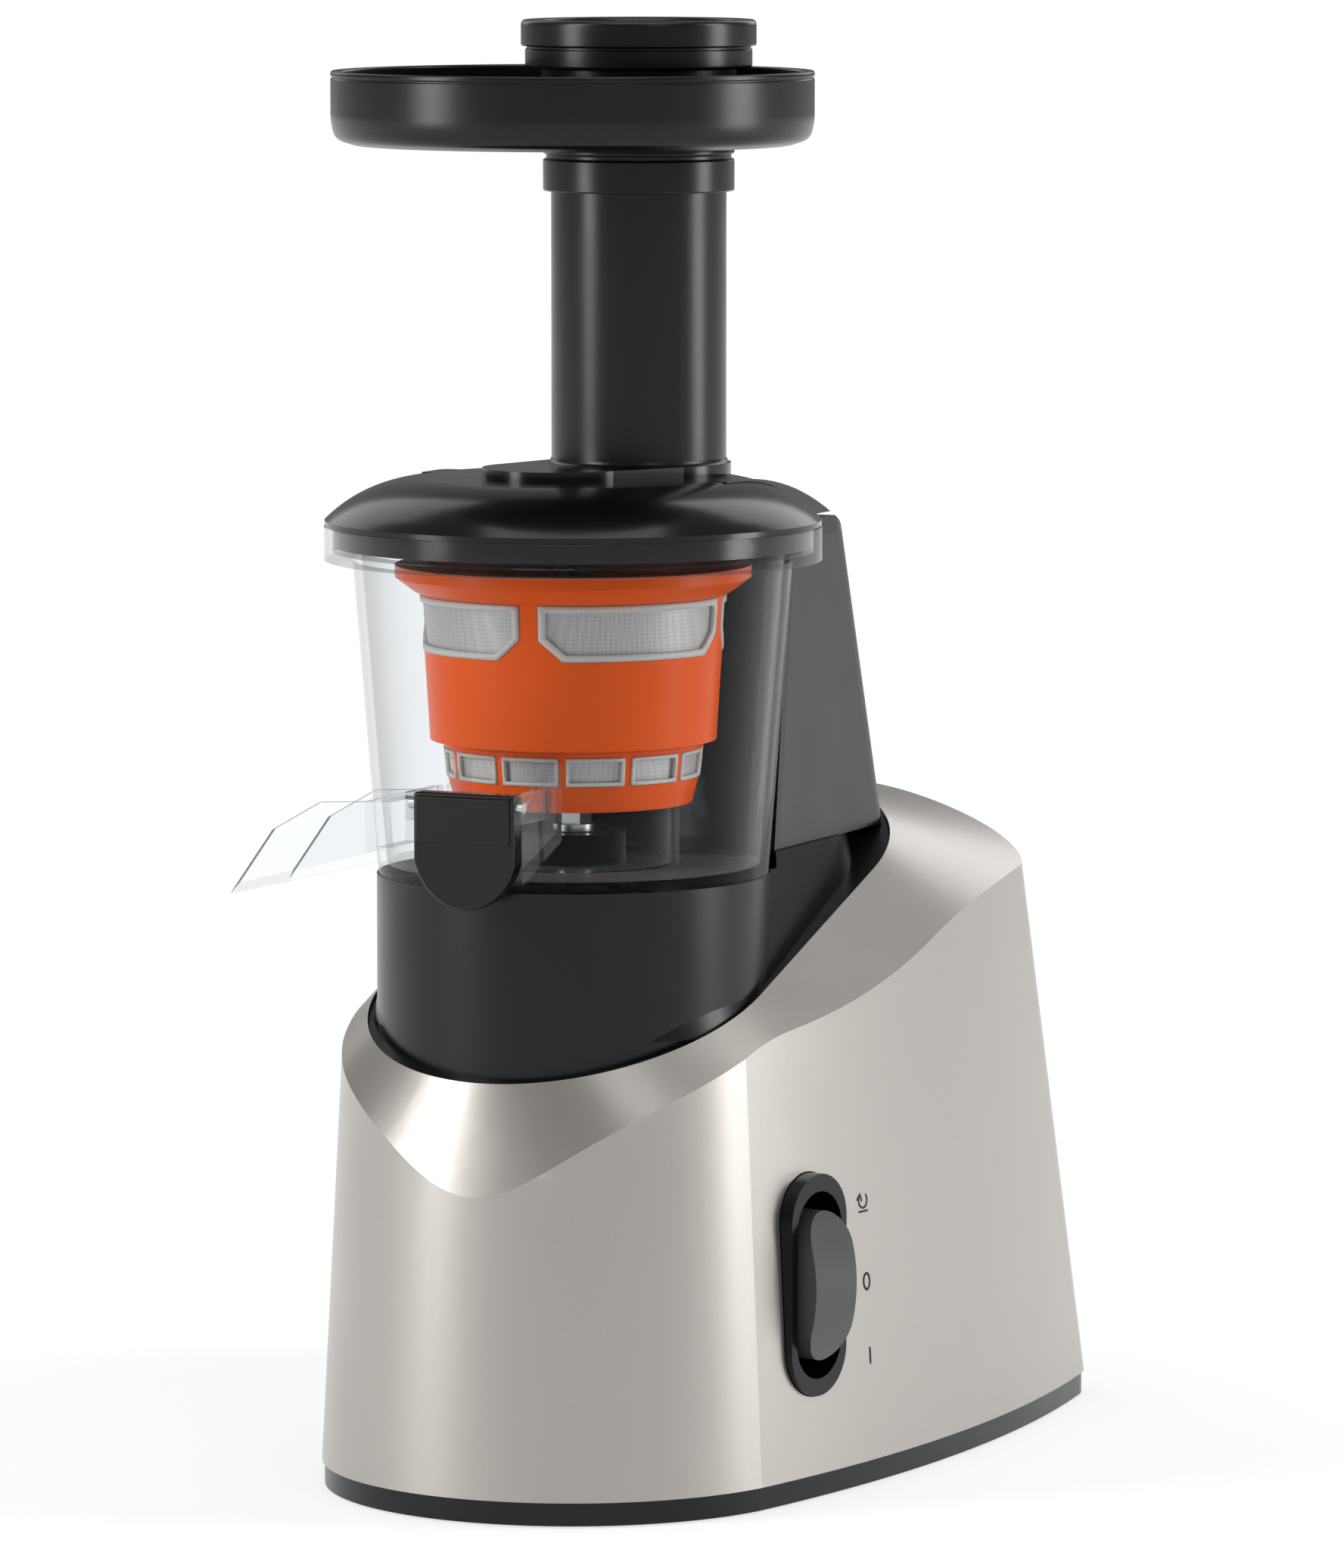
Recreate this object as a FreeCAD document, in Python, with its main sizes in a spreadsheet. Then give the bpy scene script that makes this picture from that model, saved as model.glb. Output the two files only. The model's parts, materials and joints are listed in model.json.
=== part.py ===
import FreeCAD, Part
import math
import os

import Sketcher

# Cold press juicer on a motor base.
# Frame: origin on the standing surface under the bowl's axis, +Z up, front -Y (juice spout),
# -X side holds the pulp chute, +X side holds the switch, +Y holds the rear pillar.

doc = FreeCAD.newDocument("juicer")

# Driving dimensions, millimetres and degrees
DIMENSIONS = [
    ("wall", 2.5), ("gap", 0.3), ("fit", 0.05),
    ("foot_rise", 0.6), ("foot_radius", 8.0), ("foot_inset", 28.0), ("foot_front", 4.0),
    ("plate_top", 7.3), ("plate_inset", 0.8), ("plate_wall", 3.0),
    ("front_radius", 72.8), ("half_width", 85.5), ("rear_reach", 213.0), ("rear_corner", 24.0),
    ("widest_back", 72.0), ("shell_top", 190.0), ("crown_top", 196.0), ("crown_radius", 165.0),
    ("front_taper", 9.5), ("side_taper", 11.0), ("rear_taper", 34.0),
    ("opening_height", 144.8), ("opening_slope", 0.335), ("opening_radius", 62.0),
    ("opening_side", 58.5), ("opening_back", 82.0), ("opening_rear", 142.0),
    ("flare_depth", 60.0), ("flare_front", 13.0), ("flare_side", 58.0), ("flare_rear", 128.0),
    ("tower_radius", 56.4), ("tower_low", 112.0), ("seat_height", 177.5),
    ("saddle_height", "=seat_height + 4.5"),
    ("bowl_low", 55.9), ("bowl_high", 63.0), ("bowl_rim_low", "=seat_height + 89.9"),
    ("bowl_rim_top", "=bowl_rim_low + 9.6"), ("bowl_rim", "=bowl_high + 8.2"), ("bowl_wall", 2.4),
    ("bowl_floor", 3.0), ("bowl_hub", 15.0), ("bowl_hub_rise", 12.0),
    ("pillar_half", 48.0), ("pillar_rear_low", 124.0), ("pillar_rear_high", 92.0),
    ("pillar_top", "=bowl_rim_top - 1"), ("pillar_corner", 14.0), ("panel_thick", 1.6),
    ("panel_inset", 6.0),
    ("spout_half", 15.0), ("spout_reach", 66.0), ("spout_inner", 40.0), ("spout_wall", 2.0),
    ("spout_floor_in", "=seat_height + 15.5"), ("spout_floor_out", "=seat_height + 5.5"),
    ("spout_top_in", "=seat_height + 35.5"), ("spout_top_out", "=seat_height + 22.5"),
    ("pulp_half", 19.0), ("pulp_reach", 101.0), ("pulp_floor_in", "=seat_height + 4"),
    ("pulp_floor_out", "=seat_height - 9.5"), ("pulp_top_in", "=seat_height + 19.5"),
    ("pulp_top_out", "=seat_height - 2"),
    ("stopper_half", "=spout_half + 0.6"), ("stopper_thick", 7.0),
    ("stopper_low", "=seat_height - 3.5"), ("stopper_high", "=seat_height + 29.5"),
    ("stopper_pin", 1.5),
    ("basket_flange", 51.0), ("basket_flange_top", "=bowl_rim_low - 1.4"),
    ("basket_flange_low", "=basket_flange_top - 3.5"),
    ("basket_high", 43.6), ("basket_mid", 41.0), ("basket_low", 34.0), ("basket_wall", 2.0),
    ("basket_shoulder", "=basket_flange_low - 46.5"),
    ("window_high_top", "=basket_flange_low - 5"), ("window_high_low", "=window_high_top - 16"),
    ("window_low_top", "=basket_shoulder - 2.2"), ("window_low_low", "=window_low_top - 8.3"),
    ("basket_base", "=window_low_low - 7.5"), ("mesh_thick", 0.6), ("window_gap", 5.0),
    ("window_turn", -37.0), ("window_low_turn", 5.0), ("window_low_gap", 2.2),
    ("screw_core_low", 14.0), ("screw_core_high", 9.0),
    ("screw_low", "=basket_base + basket_wall + 1"), ("screw_top", "=basket_flange_top - 4"),
    ("screw_blade", "=basket_low - 3"), ("screw_pitch", 34.0), ("screw_pin", 4.0),
    ("screw_pin_top", "=screw_top + 22"),
    ("drive_radius", 6.0), ("drive_square", 7.65), ("drive_top", "=screw_low + 14"),
    ("lid_edge", 71.0), ("lid_low", "=bowl_rim_top + gap"), ("lid_dome", "=lid_low + 13.5"),
    ("lid_crown", 44.0), ("lid_wall", 2.5), ("crest_drop", 7.0), ("crest_fall", 9.0),
    ("tube_radius", 25.2), ("boss_top", "=lid_dome + 2.7"), ("boss_half", "=tube_radius + 1.4"),
    ("boss_small", 22.0), ("tube_offset_x", 7.3), ("tube_offset_y", 29.2), ("tube_wall", 2.4),
    ("tube_top", "=boss_top + 93"), ("collar_radius", 27.2), ("collar_low", "=tube_top - 15"),
    ("tray_radius", 68.8), ("tray_low", "=tube_top - 1"), ("tray_top", "=tray_low + 21"),
    ("tray_wall", 2.4), ("tray_round", 6.5),
    ("pusher_head", 33.8), ("pusher_neck", 32.6), ("pusher_seat", 28.0),
    ("pusher_step", "=tray_top + 5.5"), ("pusher_top", "=pusher_step + 8.5"),
    ("pusher_radius", "=tube_radius - tube_wall - 0.9"), ("pusher_low", "=pusher_top - 103"),
    ("pusher_wall", 2.2),
    ("switch_y", 4.0), ("switch_z", 62.0), ("switch_half_high", 32.0), ("switch_half_wide", 13.5),
    ("paddle_half_high", 21.5), ("paddle_half_wide", 10.0), ("paddle_proud", 9.0),
    ("bezel_proud", 3.0), ("bezel_ring", 2.5), ("rocker_room", 4.5),
    ("motor_radius", 36.0), ("motor_low", 30.0), ("motor_high", 104.0),
    ("motor_shaft", 4.0), ("case_low", 106.0), ("gear_thick", 9.0), ("gear_module", 1.5),
]

sheet = doc.addObject("Spreadsheet::Sheet", "sizes")
for row, (alias, value) in enumerate(DIMENSIONS, start=1):
    sheet.set("A%d" % row, alias)
    sheet.setAlias("B%d" % row, alias)
for row, (alias, value) in enumerate(DIMENSIONS, start=1):
    sheet.set("B%d" % row, str(value))
doc.recompute()


def size(alias):
    """Value of one driving dimension."""
    return float(getattr(sheet, alias))


def bind(obj, prop, text):
    """Tie a property to the sheet: words in the text become cells of the sheet."""
    words = [alias for alias, value in DIMENSIONS]
    out = ""
    word = ""
    for letter in text + " ":
        if letter.isalnum() or letter == "_":
            word += letter
            continue
        out += "sizes." + word if word in words else word
        word = ""
        out += letter
    obj.setExpression(prop, out.strip())


def number(text):
    """Value of a sum of driving dimensions, such as 'plate_top + wall'."""
    total = 0.0
    sign = 1.0
    for token in text.replace("+", " + ").replace("-", " - ").split():
        if token == "+":
            sign = 1.0
        elif token == "-":
            sign = -1.0
        else:
            factor = 1.0
            for piece in token.split("*"):
                factor *= float(piece) if piece[0].isdigit() else size(piece)
            total += sign * factor
            sign = 1.0
    return total


def plane_of(body, role):
    """Origin plane of one body."""
    return [item for item in body.Origin.OriginFeatures if item.Role == role][0]


def fix_point(sketch, index, corner, across, up):
    """Dimension one line's start from the sketch's origin, bound to the sheet."""
    for kind, text in (("DistanceX", across), ("DistanceY", up)):
        value = number(text)
        spot = sketch.addConstraint(Sketcher.Constraint(kind, -1, 1, index, corner, value))
        bind(sketch, "Constraints[%d]" % spot, text)


def outline(body, role, corners):
    """Closed polygon sketch on an origin plane, every corner dimensioned."""
    sketch = body.newObject("Sketcher::SketchObject", body.Label + "_outline")
    sketch.AttachmentSupport = [(plane_of(body, role), "")]
    sketch.MapMode = "FlatFace"
    points = [FreeCAD.Vector(number(across), number(up), 0) for across, up in corners]
    count = len(points)
    for index in range(count):
        sketch.addGeometry(Part.LineSegment(points[index], points[(index + 1) % count]), False)
    for index in range(count):
        following = (index + 1) % count
        sketch.addConstraint(Sketcher.Constraint("Coincident", index, 2, following, 1))
    for index, (across, up) in enumerate(corners):
        fix_point(sketch, index, 1, across, up)
    return sketch


def turned(label, corners, place=None):
    """Body of revolution about its own vertical axis from a radius and height outline."""
    body = doc.addObject("PartDesign::Body", label)
    body.Label = label
    sketch = outline(body, "XZ_Plane", corners)
    turn = body.newObject("PartDesign::Revolution", label + "_turn")
    turn.Profile = sketch
    turn.ReferenceAxis = (sketch, ["V_Axis"])
    turn.Angle = 360.0
    sketch.Visibility = False
    body.Tip = turn
    if place:
        place_at(body, *place)
    return body


def padded(label, role, corners, length, place=None):
    """Body padded both ways from a polygon on one of its origin planes."""
    body = doc.addObject("PartDesign::Body", label)
    body.Label = label
    sketch = outline(body, role, corners)
    pad = body.newObject("PartDesign::Pad", label + "_pad")
    pad.Profile = sketch
    pad.Length = number(length)
    bind(pad, "Length", length)
    pad.Midplane = True
    body.Tip = pad
    if place:
        place_at(body, *place)
    return body


def place_at(obj, across="0", along="0", up="0"):
    """Placement bound to the sheet."""
    for axis, text in (("x", across), ("y", along), ("z", up)):
        if text != "0":
            bind(obj, ".Placement.Base." + axis, text)


def rod(label, radius, height, across="0", along="0", up="0"):
    """Upright cylinder from the height given by up."""
    piece = doc.addObject("Part::Cylinder", label)
    piece.Label = label
    bind(piece, "Radius", radius)
    bind(piece, "Height", height)
    place_at(piece, across, along, up)
    return piece


def block(label, sizes, across="0", along="0", up="0"):
    """Box from its lowest corner."""
    piece = doc.addObject("Part::Box", label)
    piece.Label = label
    for prop, text in zip(("Length", "Width", "Height"), sizes):
        bind(piece, prop, text)
    place_at(piece, across, along, up)
    return piece


def cut(label, base, tool):
    """First piece less the second."""
    piece = doc.addObject("Part::Cut", label)
    piece.Label = label
    piece.Base = base
    piece.Tool = tool
    return piece


def fuse(label, pieces):
    """One solid from several."""
    piece = doc.addObject("Part::MultiFuse", label)
    piece.Label = label
    piece.Shapes = pieces
    return piece


def shaped(label, shape, at=None):
    """Piece whose free form is worked out from the sheet's values."""
    piece = doc.addObject("Part::Feature", label)
    piece.Label = label
    piece.Shape = shape
    if at:
        piece.Placement = FreeCAD.Placement(FreeCAD.Vector(*at), FreeCAD.Rotation())
    return piece


def vec(across, along, up):
    """Point."""
    return FreeCAD.Vector(across, along, up)


def arc(first, middle, last):
    """Arc edge through three points."""
    return Part.Arc(first, middle, last).toShape()


def line(first, last):
    """Straight edge."""
    return Part.LineSegment(first, last).toShape()


nodes = []


def keep(*pieces):
    """List sub-parts that are written out."""
    nodes.extend(pieces)


def body_plan(height, front, half, rear, corner, widest):
    """Plan of the motor base at one height: round front, bowed sides, tight rear corners."""
    shoulder = math.radians(72.0)
    side_x = front * math.sin(shoulder)
    side_y = -front * math.cos(shoulder)
    corner_y = rear - corner
    rear_half = half * 0.955
    bow = rear - 1.5
    points = {
        "right": vec(side_x, side_y, height),
        "mid_right": vec(half, widest, height),
        "back_right": vec(rear_half, corner_y, height),
        "turn_right": vec(rear_half - corner, bow, height),
    }
    slant = corner * (1.0 - math.sqrt(0.5))
    knee = vec(rear_half - slant, bow - slant, height)
    mirror = FreeCAD.Matrix()
    mirror.A11 = -1.0
    left = {name: mirror.multVec(spot) for name, spot in points.items()}
    edges = [
        arc(left["right"], vec(0, -front, height), points["right"]),
        arc(points["right"], points["mid_right"], points["back_right"]),
        arc(points["back_right"], knee, points["turn_right"]),
        arc(points["turn_right"], vec(0, rear, height), left["turn_right"]),
        arc(left["turn_right"], mirror.multVec(knee), left["back_right"]),
        arc(left["back_right"], left["mid_right"], left["right"]),
    ]
    return Part.Wire(edges)


def base_loft(inset, low, high):
    """Tapered motor base between two heights, with every wall moved in by the inset."""
    wires = []
    for height in (low, high):
        rise = (height - size("plate_top")) / (size("shell_top") - size("plate_top"))
        wires.append(body_plan(
            height,
            size("front_radius") - size("front_taper") * rise - inset,
            size("half_width") - size("side_taper") * rise - inset,
            size("rear_reach") - size("rear_taper") * rise - inset,
            size("rear_corner") - inset,
            size("widest_back")))
    return Part.makeLoft(wires, True, True)


def oval_plan(height, front, half, back, rear):
    """Plan of the opening: half ellipse in front, straight sides, half ellipse behind."""
    front_right = vec(half, 0, height)
    front_left = vec(-half, 0, height)
    rear_right = vec(half, back, height)
    rear_left = vec(-half, back, height)

    def half_ellipse(start_angle, middle, reach):
        stretch = FreeCAD.Matrix()
        stretch.A11 = half
        stretch.A22 = reach
        stretch.A24 = middle
        stretch.A34 = height
        round_edge = Part.makeCircle(1.0, vec(0, 0, 0), vec(0, 0, 1), start_angle,
                                     start_angle + 180)
        return round_edge.transformGeometry(stretch).Edges[0]

    return Part.Wire([
        half_ellipse(180, 0.0, front),
        line(front_right, rear_right),
        half_ellipse(0, back, rear - back),
        line(rear_left, front_left),
    ])


def sloped(shape):
    """Lift a level shape onto the opening's slope."""
    slope = FreeCAD.Matrix()
    slope.A32 = size("opening_slope")
    slope.A34 = size("opening_height")
    return shape.transformGeometry(slope)


def roof_loft(drop):
    """Flared band around the opening, run down past the foot and moved down by the drop."""
    depth = size("opening_height") + size("opening_slope") * size("rear_reach") + size("wall")
    spread = depth / size("flare_depth")
    top = oval_plan(-drop, size("opening_radius"), size("opening_side"),
                    size("opening_back"), size("opening_rear"))
    low = oval_plan(-depth - drop, size("opening_radius") + size("flare_front") * spread,
                    size("opening_side") + size("flare_side") * spread, size("opening_back"),
                    size("opening_rear") + size("flare_rear") * spread)
    return sloped(Part.makeLoft([low, top], True, True))


def opening_prism(inset, low, high):
    """Upright prism of the opening, cut off along its slope at both ends."""
    wire = oval_plan(low, size("opening_radius") - inset, size("opening_side") - inset,
                     size("opening_back"), size("opening_rear") - inset)
    return sloped(Part.Face(wire).extrude(vec(0, 0, high - low)))


def base_block(inset, low, high):
    """Level prism of the base's lowest plan, for what lies under the housing."""
    plan = body_plan(low, size("front_radius") - inset, size("half_width") - inset,
                     size("rear_reach") - inset, size("rear_corner") - inset,
                     size("widest_back"))
    return Part.Face(plan).extrude(vec(0, 0, high - low))


# Silver outer housing: tapered sides, flared roof band, sloped oval opening, open below
wall = size("wall")
plate_top = size("plate_top")


def crown(drop):
    """Limit of the housing's top: arched across the width, lowered by the drop."""
    radius = size("crown_radius")
    return Part.makeCylinder(radius - drop, 4 * size("rear_reach"),
                             vec(0, -2 * size("rear_reach"), size("crown_top") - radius),
                             vec(0, 1, 0))


above = size("shell_top") + size("rear_taper")
housing_outer = base_loft(0.0, plate_top, above).common(roof_loft(0.0)).common(crown(0.0))
housing_inner = base_loft(wall, plate_top - wall, above).common(roof_loft(wall)).common(crown(wall))
housing_shape = housing_outer.cut(housing_inner).cut(opening_prism(0.0, -size("flare_depth"), above))

# Switch seat: a flat pill-shaped well through the housing's side, square to the bowed wall
switch_ray = line(vec(0, size("switch_y"), size("switch_z")),
                  vec(size("half_width") * 2, size("switch_y"), size("switch_z")))
switch_spot = sorted(switch_ray.common(housing_outer).Vertexes, key=lambda v: v.X)[-1].Point
probe = 6.0
probe_ray = line(vec(0, size("switch_y") + probe, size("switch_z")),
                 vec(size("half_width") * 2, size("switch_y") + probe, size("switch_z")))
probe_spot = sorted(probe_ray.common(housing_outer).Vertexes, key=lambda v: v.X)[-1].Point
tilt = math.degrees(math.atan2(probe_spot.x - switch_spot.x, probe))
switch_frame = FreeCAD.Placement(switch_spot, FreeCAD.Rotation(-tilt, 0, 0)).multiply(
    FreeCAD.Placement(vec(0, 0, 0), FreeCAD.Rotation(90, 0, 90)))


def pill(half_high, half_wide, low, high):
    """Pill-shaped prism in the switch's frame: tall along local Y, out of the wall along Z."""
    straight = half_high - half_wide
    box = Part.makeBox(2 * half_wide, 2 * straight, high - low, vec(-half_wide, -straight, low))
    ends = [Part.makeCylinder(half_wide, high - low, vec(0, way * straight, low))
            for way in (-1, 1)]
    return box.fuse(ends).removeSplitter()


def at_switch(shape):
    """Copy of a shape moved from the switch's frame to its place."""
    moved = shape.copy()
    moved.Placement = switch_frame.multiply(moved.Placement)
    return moved


gap = size("gap")
half_high = size("switch_half_high")
half_wide = size("switch_half_wide")
well = at_switch(pill(half_high + gap, half_wide + gap, -half_high, half_high))
outer_housing = shaped("outer_housing", housing_shape.cut(well))
bezel_deep = 2 * wall + size("rocker_room")
bezel_body = pill(half_high, half_wide, -bezel_deep, size("bezel_proud"))
ring = size("bezel_ring")
bezel_hole = pill(half_high - 2 * ring, half_wide - ring, -2 * bezel_deep, bezel_deep)
paddle_high = size("paddle_half_high")
paddle_wide = size("paddle_half_wide")
paddle_top = size("paddle_proud")
paddle = pill(paddle_high, paddle_wide, -2 * wall, paddle_top)
paddle_round = Part.makeCylinder(paddle_high * 2.2, 4 * paddle_wide,
                          vec(-2 * paddle_wide, 0, paddle_top - paddle_high * 2.2),
                          vec(1, 0, 0))
paddle = paddle.common(paddle_round)
pin_radius = 1.5
pin_depth = -wall
paddle_pin = Part.makeCylinder(pin_radius, 2 * (half_wide - ring) + 2 * wall,
                               vec(-(half_wide - ring) - wall, 0, pin_depth), vec(1, 0, 0))
pin_holes = Part.makeCylinder(pin_radius + size("fit"), 3 * half_wide,
                              vec(-1.5 * half_wide, 0, pin_depth), vec(1, 0, 0))
switch_bezel = shaped("switch_bezel", at_switch(bezel_body.cut(bezel_hole).cut(pin_holes)))
rocker_paddle = shaped("rocker_paddle", at_switch(paddle.fuse(paddle_pin)))
body_deep = 16.0
switch_body = shaped("switch_body", at_switch(Part.makeBox(
    2 * (half_wide - ring), 2 * (half_high - 2 * ring), body_deep,
    vec(-(half_wide - ring), -(half_high - 2 * ring), -bezel_deep - body_deep))))
keep(outer_housing, switch_bezel, rocker_paddle, switch_body)
spin = switch_frame.Rotation.multVec(vec(1, 0, 0))
pivot = switch_frame.multVec(vec(0, 0, pin_depth))
print("rocker pivot", pivot, "axis", spin, "spot", switch_spot)

# Black inner cover: tower under the bowl, saddle under the pillar, lining of the opening
fit_in = size("gap")
sunk = 1.2
recess_floor = 26.0
saddle_low = 135.0
saddle_rear_low = size("pillar_rear_low") + 5.0
saddle_rear_top = size("pillar_rear_low") + 1.0


def saddle(inset):
    """Waisted block that rises from the opening to the pillar's foot."""
    low = oval_plan(saddle_low - inset, size("opening_radius") - 3 * wall - inset,
                    size("opening_side") - fit_in - inset, size("opening_back") - wall,
                    saddle_rear_low - inset)
    high = oval_plan(size("saddle_height") - inset, size("tower_radius") - 2 * wall - inset,
                     size("pillar_half") + 1.0 - inset, size("opening_back") - 4 * wall,
                     saddle_rear_top - inset)
    return Part.makeLoft([low, high], True, True)


tower_radius = size("tower_radius")
seat = size("seat_height")
tower_low = size("tower_low")
lining = opening_prism(fit_in, -recess_floor, -sunk).common(crown(sunk))
bowl_clear = Part.makeCylinder(size("bowl_low") + 3.0, size("shell_top"), vec(0, 0, seat))
cover_outer = lining.fuse([
    Part.makeCylinder(tower_radius, seat - tower_low, vec(0, 0, tower_low)),
    saddle(0.0)]).cut(bowl_clear)
recess_zone = Part.makeBox(2 * size("half_width"), size("half_width"), size("shell_top"),
                           vec(-size("half_width"), saddle_rear_low - wall, tower_low))
recess_block = opening_prism(fit_in, -recess_floor, above).common(recess_zone)
lining_inner = opening_prism(fit_in + wall, -2 * recess_floor, -sunk - wall).common(
    crown(sunk + wall))
cover_inner = lining_inner.fuse([
    Part.makeCylinder(tower_radius - wall, seat - wall - tower_low + wall,
                      vec(0, 0, tower_low - wall)),
    saddle(wall)]).cut(recess_block).cut(bowl_clear.copy().translated(vec(0, 0, -wall)))
recess = opening_prism(fit_in + wall, -recess_floor + wall, above).common(
    recess_zone.translated(vec(0, wall, 0)))
cover_shape = cover_outer.cut(cover_inner).cut(recess)
drive_hole = Part.makeCylinder(size("drive_radius") + 4.0, 4 * wall, vec(0, 0, seat - 3 * wall))
cover_solids = cover_shape.cut(drive_hole).Solids
inner_cover = shaped("inner_cover", sorted(cover_solids, key=lambda item: item.Volume)[-1])
liner_thick = 1.0
grip_shape = recess.common(opening_prism(fit_in + wall + gap, -recess_floor + wall,
                                         -sunk - wall)).common(crown(sunk + wall))
grip_hollow = opening_prism(fit_in + wall + gap + liner_thick, -recess_floor + wall + liner_thick,
                            above).common(recess_zone.translated(vec(0, wall + liner_thick, 0)))
grip_liner = shaped("grip_liner", grip_shape.cut(grip_hollow))
keep(inner_cover, grip_liner)

# Rear pillar: hollow spine from the saddle to the lid, with a grey panel let into each side
pillar_low = size("saddle_height")
pillar_top = size("pillar_top")
bowl_slope = (size("bowl_high") - size("bowl_low")) / (size("bowl_rim_low") - seat)


def pillar_block(inset, low, high, front):
    """Tapering block with rounded rear corners; rear face leans back towards the base."""
    wires = []
    for height in (low, high):
        rise = (height - pillar_low) / (pillar_top - pillar_low)
        rear = (size("pillar_rear_low") * (1 - rise) + size("pillar_rear_high") * rise) - inset
        half = size("pillar_half") - inset
        corner = size("pillar_corner") - inset
        slant = corner * (1.0 - math.sqrt(0.5))
        wires.append(Part.Wire([
            line(vec(-half, front, height), vec(half, front, height)),
            line(vec(half, front, height), vec(half, rear - corner, height)),
            arc(vec(half, rear - corner, height), vec(half - slant, rear - slant, height),
                vec(half - corner, rear, height)),
            line(vec(half - corner, rear, height), vec(corner - half, rear, height)),
            arc(vec(corner - half, rear, height), vec(slant - half, rear - slant, height),
                vec(-half, rear - corner, height)),
            line(vec(-half, rear - corner, height), vec(-half, front, height))]))
    return Part.makeLoft(wires, True, True)


def crest(drop):
    """Space under the curve that runs from the lid's dome down over the pillar's top."""
    rear = size("pillar_rear_high") + 1.0 - drop
    top = size("lid_dome") - drop
    end = vec(0, rear, size("lid_low") - size("crest_fall") - drop)
    across = 2 * size("half_width")
    face = Part.Face(Part.Wire([
        arc(vec(0, 0, top), vec(0, 0.6 * rear, top - size("crest_drop")), end),
        line(end, vec(0, rear, 0)), line(vec(0, rear, 0), vec(0, 0, 0)),
        line(vec(0, 0, 0), vec(0, 0, top))]))
    face.translate(vec(-across / 2, 0, 0))
    lean = Part.makeBox(across, 2 * rear, size("lid_low") - size("crest_fall") - drop)
    return face.extrude(vec(across, 0, 0)).fuse(lean.translated(vec(-across / 2, 0, 0)))


bowl_gap = 2.5
clear_low = size("bowl_low") + bowl_gap
clear_high = size("bowl_high") + bowl_gap
bowl_room = Part.makeCone(clear_low - 2 * bowl_slope, clear_high,
                          size("bowl_rim_low") - seat + 2, vec(0, 0, seat - 2))
rim_room = Part.makeCylinder(size("bowl_rim") + 1.0, 2 * bowl_gap + 20,
                             vec(0, 0, size("bowl_rim_low") - 1.0))
inner_room = Part.makeCone(clear_low - 2 * bowl_slope + wall, clear_high + wall,
                           size("bowl_rim_low") - seat + 2, vec(0, 0, seat - 2))
rim_inner = Part.makeCylinder(size("bowl_rim") + 1.0 + wall, 2 * bowl_gap + 20,
                              vec(0, 0, size("bowl_rim_low") - 1.0 - wall))
front = 28.0
pillar_outer = pillar_block(0.0, pillar_low, pillar_top, front).cut([bowl_room, rim_room])
pillar_outer = pillar_outer.common(crest(0.0))
pillar_inner = pillar_block(wall + size("panel_thick"), pillar_low - 1, pillar_top - wall,
                            front).cut([inner_room, rim_inner]).common(crest(wall))
panel_zone = pillar_block(size("panel_inset"), pillar_low + 2.0, pillar_top - 5.0, front)
grow = FreeCAD.Matrix()
grow.A11 = 1.3
panel_zone = panel_zone.transformGeometry(grow)
panel_room = Part.makeCone(clear_low - 2 * bowl_slope + 2, clear_high + 2,
                           size("bowl_rim_low") - seat + 2, vec(0, 0, seat - 2))
rim_panel = Part.makeCylinder(size("bowl_rim") + 3.0, 40, vec(0, 0, size("bowl_rim_low") - 3))
pillar_panel_shape = pillar_outer.cut(
    pillar_block(size("panel_thick"), pillar_low - 5, pillar_top + 5, front - 5)).common(
        panel_zone).cut([panel_room, rim_panel, cover_outer])
pillar_shell = shaped("rear_pillar", pillar_outer.cut(pillar_inner).cut(
    [pillar_panel_shape, cover_outer]))
panels = sorted(pillar_panel_shape.Solids, key=lambda solid: solid.CenterOfMass.x)
left_panel = shaped("left_pillar_panel", panels[0])
right_panel = shaped("right_pillar_panel", panels[-1])
keep(pillar_shell, left_panel, right_panel)

# Foot plate with its legs, rubber feet and screws
foot_rise = size("foot_rise")
plate_wall = size("plate_wall")
plate_block = base_block(size("plate_inset"), foot_rise, plate_top)
plate_well = base_block(size("plate_inset") + wall, foot_rise + plate_wall, plate_top + 1)
lip = base_block(wall + 3 * gap, foot_rise + plate_wall, plate_top + 4).cut(
    base_block(2 * wall + 3 * gap, foot_rise + plate_wall, plate_top + 5))
foot_in = size("foot_inset")
foot_spots = [(way * (size("half_width") - foot_in), along)
              for way in (-1, 1) for along in (size("foot_front"), size("rear_reach") - foot_in)]
foot_spots.append((0.0, 0.0))
pedestal_high = size("motor_low") - 4.0
module = size("gear_module")
motor_teeth = 12
first_teeth = 40
second_teeth = 18
output_teeth = 62
idler_y = module * (second_teeth + output_teeth) / 2.0
motor_y = idler_y + module * (motor_teeth + first_teeth) / 2.0
pedestal = Part.makeCylinder(34.0, pedestal_high - foot_rise, vec(0, motor_y, foot_rise)).cut(
    Part.makeCylinder(31.5, 100, vec(0, motor_y, foot_rise + plate_wall)))
case_low = size("case_low")
leg_spots = [(-38.0, -12.0), (38.0, -12.0), (0.0, -38.0)]
legs = [Part.makeCylinder(4.0, case_low - foot_rise, vec(x, y, foot_rise)) for x, y in leg_spots]
vents = [Part.makeBox(40, 2.5, 20, vec(-20, motor_y - 20 + 8 * step, 0)) for step in range(6)]
foot_holes = [Part.makeCylinder(2.6, 3.0, vec(x, y, foot_rise - 0.5)) for x, y in foot_spots]
board_slot = Part.makeBox(6.0, 50.0, 12.0, vec(53.0, 30.0, foot_rise)).cut(
    Part.makeBox(1.8, 60.0, 20.0, vec(55.1, 25.0, foot_rise + plate_wall + 2)))
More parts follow.
